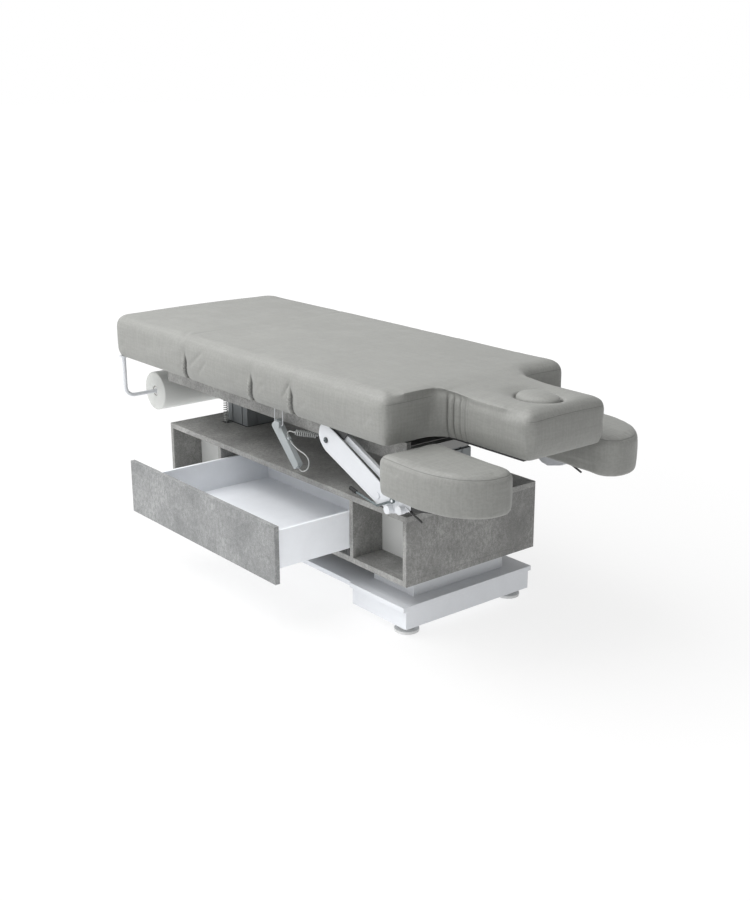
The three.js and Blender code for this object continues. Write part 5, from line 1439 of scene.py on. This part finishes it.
    def on_neck(self, at: np.ndarray) -> np.ndarray:
        """1 on the neck's inner corners, and nothing away from them."""
        close = (np.abs(np.abs(at[:, 1]) - self.head_half_width) < 75)
        return close * (at[:, 0] > self.shoulder - 12) * (
            at[:, 0] < self.shoulder + self.neck_reach)

    def refined(self, body: Piece) -> None:
        """Adds vertices where the darts, the pleats and the rim need them."""

        def rim(p: Vector) -> bool:
            """Whether a place is beside the face opening's rim."""
            share = math.hypot((p.x - self.hole_x) / self.hole_half[0], p.y / self.hole_half[1])
            return 0.9 < share < 1.45 and p.z > self.high - 75

        def from_dart(p: Vector) -> float:
            """Distance of a place from the nearest dart, along the bed."""
            return min(abs(p.x - x) for x in FOLDS_X)

        def creased(p: Vector) -> bool:
            """Whether a place is beside a dart or a pleat."""
            dart = from_dart(p) < 30 and abs(p.y) > 355 and p.z < self.high - 8
            neck = (self.shoulder - 6 < p.x < self.shoulder + 150
                    and self.head_half_width - 22 < abs(p.y) < self.head_half_width + 70
                    and p.z < self.high - 4)
            return dart or neck

        def sharp_line(p: Vector) -> bool:
            """Whether a place is close beside a dart's crease."""
            return from_dart(p) < 11 and abs(p.y) > 365 and p.z < self.high - 30

        for region in (rim, creased, sharp_line):
            MeshWork.refined(body, region)

    def creased(self, body: Piece) -> None:
        """Moves the vertices of the darts, the pleats, the soft folds and the rim, and writes the
        painted shade of the darts and pleats.
        """
        co = MeshWork.coords(body)
        normal = MeshWork.normals(body)
        at = drawing(co)
        wall = np.clip(np.hypot(normal[:, 0], normal[:, 1]), 0, 1)
        on_side = np.abs(at[:, 1]) > self.side_wall
        inward = self.darts.depth(at) * on_side * ramp(wall, 0.25, 0.6)
        inward += self.pleat_depth(at) * ramp(wall, 0.25, 0.6) * self.on_neck(at)
        inward += self.fold_depth(at) * ramp(wall, 0.3, 0.7)
        co -= normal * np.array([1, 1, 0.25]) * inward[:, None] * MM
        co[:, 2] -= self.rim_drop(at, normal) * MM
        MeshWork.set_coords(body, co)
        # The crease attribute carries painted shade: dark creases and gathers of the darts and
        # dark pleats of the neck.
        shade = self.darts.shade(at) * on_side * ramp(wall, 0.3, 0.6)
        MeshWork.attribute(body, "crease", shade + self.pleat_shade(at) * self.on_neck(at))

    def pleat_shade(self, at: np.ndarray) -> np.ndarray:
        """How much painted shade each place gets in a pleat of the neck."""
        run = self.neck_run(at)
        shade = np.zeros(len(at))
        for middle, _ in self.pleats:
            shade = np.maximum(shade, bell(run - middle, self.pleat_shade_width))
        return self.pleat_shade_share * shade * ramp(at[:, 2], *self.pleat_shade_z)

    def pleat_depth(self, at: np.ndarray) -> np.ndarray:
        """Depth of the upright pleats in the neck's inner corners."""
        run = self.neck_run(at)
        depth = np.zeros(len(at))
        for middle, deep in self.pleats:
            depth += deep * np.exp(-np.abs((run - middle) / self.pleat_width) ** 1.6)
            depth -= self.pleat_lip * bell(run - middle - self.pleat_lip_offset,
                                           self.pleat_lip_width)
        return depth * ramp(at[:, 2], *self.pleat_z)

    def fold_depth(self, at: np.ndarray) -> np.ndarray:
        """Depth of the slack folds that run slantwise over the long sides and the ends."""
        depth = np.zeros(len(at))
        for x0, z0, x1, z1, deep, wide in self.folds:
            along = np.array([x1 - x0, z1 - z0])
            size = float(np.hypot(*along))
            along = along / size
            rel = at[:, [0, 2]] - np.array([x0, z0])
            run = rel @ along
            off = rel @ np.array([-along[1], along[0]])
            fade = ramp(run, -8.0, 14.0) * (1 - ramp(run, size - 14.0, size + 8.0))
            depth += deep * bell(off, wide) * fade * (np.abs(at[:, 1]) > self.side_wall)
        return depth

    def rim_drop(self, at: np.ndarray, normal: np.ndarray) -> np.ndarray:
        """How far the surface dips towards the face opening."""
        share = self.hole_share(at)
        reach = np.clip((share - 1.0) * self.hole_mean, 0.0, None)
        top = ramp(normal[:, 2], 0.1, 0.5) * (at[:, 2] > self.high - 80)
        bend = np.clip(self.rim_round - reach, 0.0, self.rim_round)
        rounded = self.rim_round - np.sqrt(np.maximum(self.rim_round ** 2 - bend ** 2, 0.0))
        footward = 1.0 + self.dimple_slope * np.clip(
            (self.hole_x - at[:, 0]) / self.dimple_reach, -1.0, 1.0)
        dimple = self.dimple_depth * bell(reach, self.dimple_width) * footward
        return (rounded * self.rim_share + dimple) * top

    def part(self, name: str, body: Piece, first: float | None,
             last: float | None) -> Piece:
        """One closed length of the mattress.

        Args:
            name: Name of the piece.
            body: The whole mattress.
            first: Place of its cut towards the foot, or None at the foot end.
            last: Place of its cut towards the head, or None at the head end.

        Returns:
            The piece, with its seam attributes and its finish.
        """
        bm = bmesh.new()
        bm.from_mesh(body.data)
        for x, way in ((first, -1.0), (last, 1.0)):
            if x is None:
                continue
            bmesh.ops.bisect_plane(bm, geom=bm.verts[:] + bm.edges[:] + bm.faces[:],
                                   plane_co=place(x, 0, 700), plane_no=(way, 0, 0),
                                   clear_outer=True, dist=1e-6)
            edges = [e for e in bm.edges if e.is_boundary]
            bmesh.ops.contextual_create(bm, geom=edges)
        piece = MeshWork.finished(name, bm, sharp_degrees=70.0)
        self.seams(piece)
        self.shelf.put(piece, "grey leatherette")
        return piece

    def seams(self, piece: Piece) -> None:
        """Writes where the seams of the shoulder ends and of the head end run."""
        at = drawing(MeshWork.coords(piece))
        side = np.abs(at[:, 1])
        on_head = at[:, 0] > self.shoulder + 200
        width = np.where(on_head, self.head_half_width, self.half_width)
        drop = np.where(on_head, self.head_drop, 2.0)
        line = self.high - drop - self.crown * (side / width) ** 2 - self.seam_drop
        shoulder = (at[:, 0] > self.shoulder - 30) * (at[:, 0] < self.shoulder + 30)
        shoulder = shoulder * ramp(side, 205.0, 222.0) * ramp(side, 396.0, 380.0)
        ends = (at[:, 0] > self.head - 26) * ramp(side, 168.0, 156.0)
        MeshWork.sewn(piece, (at[:, 2] - line) * MM, np.clip(shoulder + ends, 0, 1),
                      at[:, 1] * MM)

    def build(self) -> None:
        """Makes the three lengths and hides the cushion nodes of the frame that they replace."""
        body = self.block()
        self.crowned(body)
        Swelling(cap=3.0).run(body, self.held(body))
        MeshWork.subdivided(body)
        self.refined(body)
        self.creased(body)
        leg = self.part("mattress_leg", body, None, self.cuts[0])
        middle = self.part("mattress_thigh", body, self.cuts[0], self.cuts[1])
        back = self.part("mattress_back", body, self.cuts[1], None)
        MeshWork.discarded(body)
        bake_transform(leg)
        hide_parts("leg_cushion", "thigh_cushion")
        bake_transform(middle)
        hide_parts("thigh_fold", "seat_cushion")
        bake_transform(back)
        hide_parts("back_fold", "back_cushion")
        for piece in (leg, middle, back):
            LOG.info("%s: %d faces", piece.name, len(piece.data.polygons))


@dataclass
class FacePlug:
    """The oval plug that closes the face opening."""

    shelf: FinishShelf
    centre_x: float = FACE_HOLE_X
    half: tuple[float, float] = (79.5, 59.0)
    low: float = 743.0
    edge: float = 833.0
    proud: float = 13.0
    seam_drop: float = 16.0
    mean_radius: float = 0.07

    def build(self) -> None:
        """Makes the plug with its crowned top."""
        bm = MeshWork.oval_block(place(self.centre_x, 0, (self.edge + self.low) / 2),
                                 self.half, (self.edge - self.low) * MM)
        rims = [e for e in bm.edges if abs(e.verts[0].co.z - e.verts[1].co.z) < 1e-6]
        bmesh.ops.bevel(bm, geom=rims, offset=0.012, offset_type="OFFSET", segments=6,
                        profile=0.5, affect="EDGES", clamp_overlap=False, material=-1)
        plug = MeshWork.finished("face_plug_visual", bm)
        MeshWork.remeshed(plug, 5.0)
        MeshWork.relaxed(plug, 2)
        co = MeshWork.coords(plug)
        at = drawing(co)
        share = np.hypot((at[:, 0] - self.centre_x) / self.half[0], at[:, 1] / self.half[1])
        top = ramp(at[:, 2], self.edge - 26, self.edge - 8)
        co[:, 2] += self.proud * (1 - np.clip(share, 0, 1) ** 2.4) * top * MM
        MeshWork.set_coords(plug, co)
        Swelling(cap=2.0).run(plug, 1 - ramp(at[:, 2], self.low + 4, self.low + 30))
        MeshWork.subdivided(plug)
        plug.data.shade_smooth()
        at = drawing(MeshWork.coords(plug))
        around = np.arctan2(at[:, 1], at[:, 0] - self.centre_x)
        MeshWork.sewn(plug, (at[:, 2] - self.edge + self.seam_drop) * MM, np.ones(len(at)),
                      around * self.mean_radius)
        self.shelf.put(plug, "grey leatherette")
        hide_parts("face_plug")
        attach(plug, "plug")


@dataclass
class ArmPad:
    """One armrest pad, its outer side bowed towards the head end."""

    shelf: FinishShelf
    tag: str
    side: float
    pivot: tuple[float, float]
    start: float = 84.5
    length: float = 384.0
    inner: float = 193.0
    outer: float = 438.0
    rise: float = 43.8
    thickness: float = 127.0
    corner: float = 28.0
    foot_inner: float = 46.0
    head_inner: float = 68.0
    bow: tuple[float, float] = (240.0, 165.0)
    droop: float = 10.0
    seam_drop: float = 8.0
    groove: float = 1.2
    groove_width: float = 5.0
    tuck: float = 4.0
    tuck_height: float = 62.0
    rise_mid: float = 3.0
    fall_rim: float = 5.0
    ripple: float = 0.7
    mean_radius: float = 0.19
    quarter_steps: int = 14

    def build(self) -> None:
        """Makes the pad with its crown, its seam and its full sides."""
        x0, x1 = self.pivot[0] + self.start, self.pivot[0] + self.start + self.length
        low = self.pivot[1] + self.rise
        high = low + self.thickness
        bm = MeshWork.stacked([(z, self.outline(x0, x1, inset))
                               for z, inset in MeshWork.profile(low, high, 11.0, 22.0)])
        pad = MeshWork.finished(f"arm_pad_{self.tag}_visual", bm)
        MeshWork.remeshed(pad, 6.0)
        MeshWork.relaxed(pad, 1)
        self.shape(pad, low, high)
        at = drawing(MeshWork.coords(pad))
        Swelling(cap=2.5).run(pad, 1 - ramp(at[:, 2], low + 6, low + 34))
        MeshWork.subdivided(pad)
        pad.data.shade_smooth()
        at = drawing(MeshWork.coords(pad))
        line = high - self.seam_drop - self.droop * np.clip((at[:, 0] - x0) / self.length, 0, 1)
        middle_y = self.side * (self.inner + self.outer) / 2
        around = np.arctan2(at[:, 1] - middle_y, at[:, 0] - (x0 + x1) / 2)
        MeshWork.sewn(pad, (at[:, 2] - line) * MM, np.ones(len(at)), around * self.mean_radius)
        self.shelf.put(pad, "grey leatherette")
        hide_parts(f"arm_pad_{self.tag}")
        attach(pad, f"armrest_{self.tag}")

    def outline(self, x0: float, x1: float, inset: float) -> list[tuple[float, float]]:
        """Points round the pad in plan, between its two ends, drawn in by the inset."""
        long, wide = self.bow
        arcs = [(x1 - self.head_inner, self.inner + self.head_inner, self.head_inner,
                 self.head_inner, -90), (x1 - long, self.outer - wide, long, wide, 0),
                (x0 + self.corner, self.outer - self.corner, self.corner, self.corner, 90),
                (x0 + self.foot_inner, self.inner + self.foot_inner, self.foot_inner,
                 self.foot_inner, 180)]
        points = []
        for cx, cy, rx, ry, start in arcs:
            for k in range(self.quarter_steps + 1):
                angle = math.radians(start + 90 * k / self.quarter_steps)
                points.append((cx + (rx - inset) * math.cos(angle),
                               self.side * (cy + (ry - inset) * math.sin(angle))))
        return points

    def shape(self, pad: Piece, low: float, high: float) -> None:
        """Tucks the underside in, rounds the top and lets a few soft folds in.

        Args:
            pad: The pad's object.
            low: Height of its underside.
            high: Height of its top.
        """
        co = MeshWork.coords(pad)
        normal = MeshWork.normals(pad)
        at = drawing(co)
        tuck = self.tuck * np.clip(1 - (at[:, 2] - low) / self.tuck_height, 0, 1) ** 2
        seam = self.groove * bell(at[:, 2] - high + self.seam_drop, self.groove_width)
        co -= normal * np.array([1, 1, 0]) * (tuck + seam)[:, None] * MM
        middle = (self.pivot[0] + self.start + self.length / 2,
                  self.side * (self.inner + self.outer) / 2)
        share = np.maximum(np.abs(at[:, 0] - middle[0]) / (self.length / 2),
                           np.abs(at[:, 1] - middle[1]) / ((self.outer - self.inner) / 2))
        top = ramp(at[:, 2], high - 30, high - 8)
        co[:, 2] += (self.rise_mid - self.fall_rim * np.clip(share, 0, 1) ** 2.5) * top * MM
        co[:, 2] -= self.droop * np.clip(
            (at[:, 0] - middle[0]) / self.length + 0.5, 0, 1) * MM
        ripple = self.ripple * np.sin(at[:, 0] / 17.0) * np.sin(at[:, 2] / 23.0 + at[:, 1] / 41.0)
        co -= normal * (ripple * (1 - top))[:, None] * MM
        MeshWork.set_coords(pad, co)


# --- Paper roll and small hardware ---


@dataclass
class PaperRoll:
    """The roll of creped paper under the foot end, with its board core."""

    shelf: FinishShelf
    centre: Point = ROLL_CENTRE
    radius: float = 80.5
    half_length: float = 240.0
    bore: float = 19.0
    core_wall: float = 2.5
    layer: float = 2.2

    def build(self) -> None:
        """Makes the wound paper and the core."""
        axis = Vector((0, 1, 0))
        centre = place(*self.centre)
        inner = self.bore + self.core_wall
        profile: list[tuple[float, float]] = []
        reach, step = inner, 0
        while reach < self.radius - 1.5:
            edge = self.half_length - (0.9 if step % 2 else 0.0) - 0.5 * math.sin(reach * 0.35)
            profile += [(reach, edge), (min(reach + self.layer - 0.2, self.radius - 1.2), edge)]
            reach += self.layer
            step += 1
        rim = [(self.radius - 0.6, self.half_length - 0.6), (self.radius, self.half_length - 1.8)]
        half = profile + rim
        ring = half + [(r, -h) for r, h in reversed(half)] + [half[0]]
        bm = MeshWork.lathed(ring, axis, centre, 72)
        for vert in bm.verts:
            rel = vert.co - centre
            flat = Vector((rel.x, 0, rel.z))
            if flat.length > (self.radius - 2.5) * MM:
                turn = (math.atan2(rel.z, rel.x) / (2 * math.pi) + 0.62) % 1.0
                vert.co -= flat.normalized() * (0.9 * MM * turn)
        paper = MeshWork.finished("paper_roll_visual", bm, sharp_degrees=35.0)
        self.shelf.put(paper, "creped paper")
        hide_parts("paper_roll")
        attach(paper, "roll")
        end = self.half_length - 2
        wall = [(self.bore, -end), (inner - 0.1, -end), (inner - 0.1, end), (self.bore, end),
                (self.bore, -end)]
        core = MeshWork.finished("paper_roll_core", MeshWork.lathed(wall, axis, centre, 40))
        self.shelf.put(core, "grey board")
        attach(core, "roll")
        for side, way in SIDES.items():
            hub = [(8.6, 0), (self.bore - 0.1, 0), (self.bore - 0.1, 12), (16, 14), (10.5, 14),
                   (8.6, 12), (8.6, 0)]
            at = centre + axis * (way * (self.half_length - 16.0) * MM)
            plug = MeshWork.finished(f"roll_hub_{side}",
                                     MeshWork.lathed(hub, axis * way, at, 32))
            self.shelf.put(plug, "foot plastic")
            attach(plug, "roll")


@dataclass
class SmallHardware:
    """Bolts, grips, glides and rings that the frame's nodes leave plain."""

    shelf: FinishShelf
    frame_width: float = 4.0
    frame_height: float = 2.4

    def bolt(self, name: str, at: Point, axis: Vector, radius: float, body: str) -> None:
        """A round-headed bolt with a socket and a washer.

        Args:
            name: Name of the piece.
            at: Middle of the seat under its washer, in drawing millimetres.
            axis: Way its head points.
            radius: Radius of its head in millimetres.
            body: Body that it rides on.
        """
        r = radius
        profile = [(0.0, 0.0), (r * 1.3, 0.0), (r * 1.3, 1.2), (r * 1.02, 1.5), (r, 2.6),
                   (r * 0.86, 4.2), (r * 0.56, 5.0), (r * 0.5, 4.9), (r * 0.46, 2.4), (0.0, 2.2)]
        bm = MeshWork.lathed(profile, axis, place(*at), 28)
        head = MeshWork.finished(name, bm, sharp_degrees=40.0)
        self.shelf.put(head, "dark chrome")
        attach(head, body)

    def grip(self, tag: str, pivot: tuple[float, float], side: float) -> None:
        """The ribbed rubber sleeve on a lock lever.

        Args:
            tag: Name of the side.
            pivot: Place of the armrest's pivot, x and z.
            side: 1 for the far side and -1 for the near one.
        """
        y = side * 368.5
        start = Vector((pivot[0] - 99.0, y, pivot[1] - 13.4))
        end = Vector((pivot[0] - 133.5, y, pivot[1] - 6.5))
        way = (end - start).normalized()
        length = (end - start).length
        rib, valley, ribs = 6.9, 6.4, 9
        profile = [(4.2, 0.0), (valley, 0.3)]
        for i in range(ribs):
            h = 2.0 + i * (length - 6.0) / ribs
            profile += [(rib, h), (rib, h + 1.6), (valley, h + 2.0), (valley, h + 2.9)]
        profile += [(6.8, length - 3.0), (5.6, length - 0.4), (3.2, length + 0.8),
                    (0.0, length + 1.0)]
        bm = MeshWork.lathed([(0.0, 0.0)] + profile, way, place(*start), 24)
        sleeve = MeshWork.finished(f"lever_grip_{tag}", bm, sharp_degrees=50.0)
        self.shelf.put(sleeve, "grip rubber")
        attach(sleeve, f"lever_{tag}")

    def glide_ring(self, name: str, x: float, half: tuple[float, float], z: float,
                   body: str) -> None:
        """The thin plastic frame in the mouth of a column stage.

        Args:
            name: Name of the piece.
            x: Middle of the column.
            half: Half length and half width of the stage that slides in it.
            z: Height of the mouth.
            body: Body that it rides on.
        """
        bm = bmesh.new()
        bmesh.ops.create_cube(bm, size=1.0)
        MeshWork.sized(bm, place(x, 0, z + 1.25), (
            (2 * half[0] + 9.0) * MM, (2 * half[1] + 9.0) * MM, self.frame_height * MM))
        caps = [f for f in bm.faces if abs(f.normal.z) > 0.9]
        bmesh.ops.inset_individual(bm, faces=caps, thickness=self.frame_width * MM)
        inner = [f for f in bm.faces if abs(f.normal.z) > 0.9
                 and f.calc_area() > (2 * half[0]) * (2 * half[1]) * 0.8 * MM * MM]
        bmesh.ops.bridge_loops(bm, edges=[e for f in inner for e in f.edges])
        bmesh.ops.delete(bm, geom=inner, context="FACES_ONLY")
        outer = [e for e in bm.edges if e.calc_length() > 0.05 and not e.is_boundary]
        bmesh.ops.bevel(bm, geom=outer, offset=0.5 * MM, offset_type="OFFSET", segments=2,
                        profile=0.5, affect="EDGES", clamp_overlap=True, material=-1)
        ring = MeshWork.finished(name, bm, sharp_degrees=40.0)
        self.shelf.put(ring, "black plastic")
        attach(ring, body)

    def build(self) -> None:
        """Makes all of the hardware."""
        for tag, side in SIDES.items():
            out = Vector((0, side, 0))
            self.bolt(f"arm_bolt_{tag}", (405.0, side * 364.3, 623.5), out, 5.6, "back_part")
            self.grip(tag, ARM_PIVOTS[tag], side)
        for tag, x in (("head", 555.0), ("foot", -555.0)):
            self.glide_ring(f"glide_ring_{tag}_low", x, (69.5, 86.5), 426.2, "base")
            self.glide_ring(f"glide_ring_{tag}_high", x, (64.0, 81.0), 565.2, "middle_stages")


# --- The frame's own nodes ---


@dataclass
class FrameDressing:
    """Finishes of the nodes that are shown as they are."""

    shelf: FinishShelf
    own: dict[str, str] = field(default_factory=lambda: {
        # The cabinet top takes the laminate's paler copy, which is painted light.
        "cabinet_top": "concrete worktop", "drawer_front": "concrete drawer front",
        "cabinet_divider_head": "concrete shelf", "cabinet_divider_foot": "concrete shelf",
        "subframe": "grey powder coat", "drawer_runners": "dark powder coat",
        # The pad carriers take the finish with black painted shade beyond their bosses.
        "pad_carrier_near": "near carrier coats", "pad_carrier_far": "far carrier coats",
        "lock_lever_near": "dark chrome", "lock_lever_far": "dark chrome"})
    eased: dict[float, tuple[str, ...]] = field(default_factory=lambda: {
        0.7: ("cabinet_bottom", "cabinet_top", "cabinet_end_head", "cabinet_end_foot",
              "cabinet_divider_head", "cabinet_divider_foot", "cabinet_back_panel"),
        0.8: ("drawer_front", "side_board_near", "side_board_far", "arm_plate_near",
              "arm_plate_far"),
        1.0: ("drawer_box", "handset_socket"), 1.2: ("base_frame",), 2.0: ("control_box",)})

    def build(self) -> None:
        """Gives each node its slot's finish and eases the edges of the boards."""
        slots = {part["node"]: part["material_slot"] for part in frame["record"]["subparts"]}
        for name, obj in frame["nodes"].items():
            finish = self.shelf.made[self.own.get(name, FINISH_OF_SLOT[Slot(slots[name])])]
            for spot in obj.material_slots:
                spot.link = "OBJECT"
                spot.material = finish
            if not obj.material_slots:
                obj.data.materials.append(finish)
        for radius, names in self.eased.items():
            for name in names:
                self.ease(frame["nodes"][name], radius)

    @staticmethod
    def ease(obj: Piece, radius: float) -> None:
        """Rounds a node's edges a little without changing its mesh."""
        weld = obj.modifiers.new("weld", "WELD")
        weld.merge_threshold = 0.00002
        bevel = obj.modifiers.new("ease", "BEVEL")
        bevel.width = radius * MM
        bevel.segments = 2
        bevel.limit_method = "ANGLE"
        bevel.angle_limit = math.radians(40.0)
        bevel.harden_normals = True
        bevel.use_clamp_overlap = True


def corners(bounds: tuple[Vector, Vector]) -> list[list[float]]:
    """A box's two corners as plain lists."""
    return [[float(c) for c in corner] for corner in bounds]


def main() -> None:
    """Builds the scene."""
    logging.basicConfig(level=logging.INFO, format="%(name)s: %(message)s")
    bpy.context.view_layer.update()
    shelf = FinishShelf()
    shelf.fill()
    Studio().build()
    CurlyCables(shelf).build()
    FrameDressing(shelf).build()
    Mattress(shelf).build()
    FacePlug(shelf).build()
    for tag, side in SIDES.items():
        ArmPad(shelf, tag, side, ARM_PIVOTS[tag]).build()
    PaperRoll(shelf).build()
    SmallHardware(shelf).build()


if __name__ == "__main__":
    main()
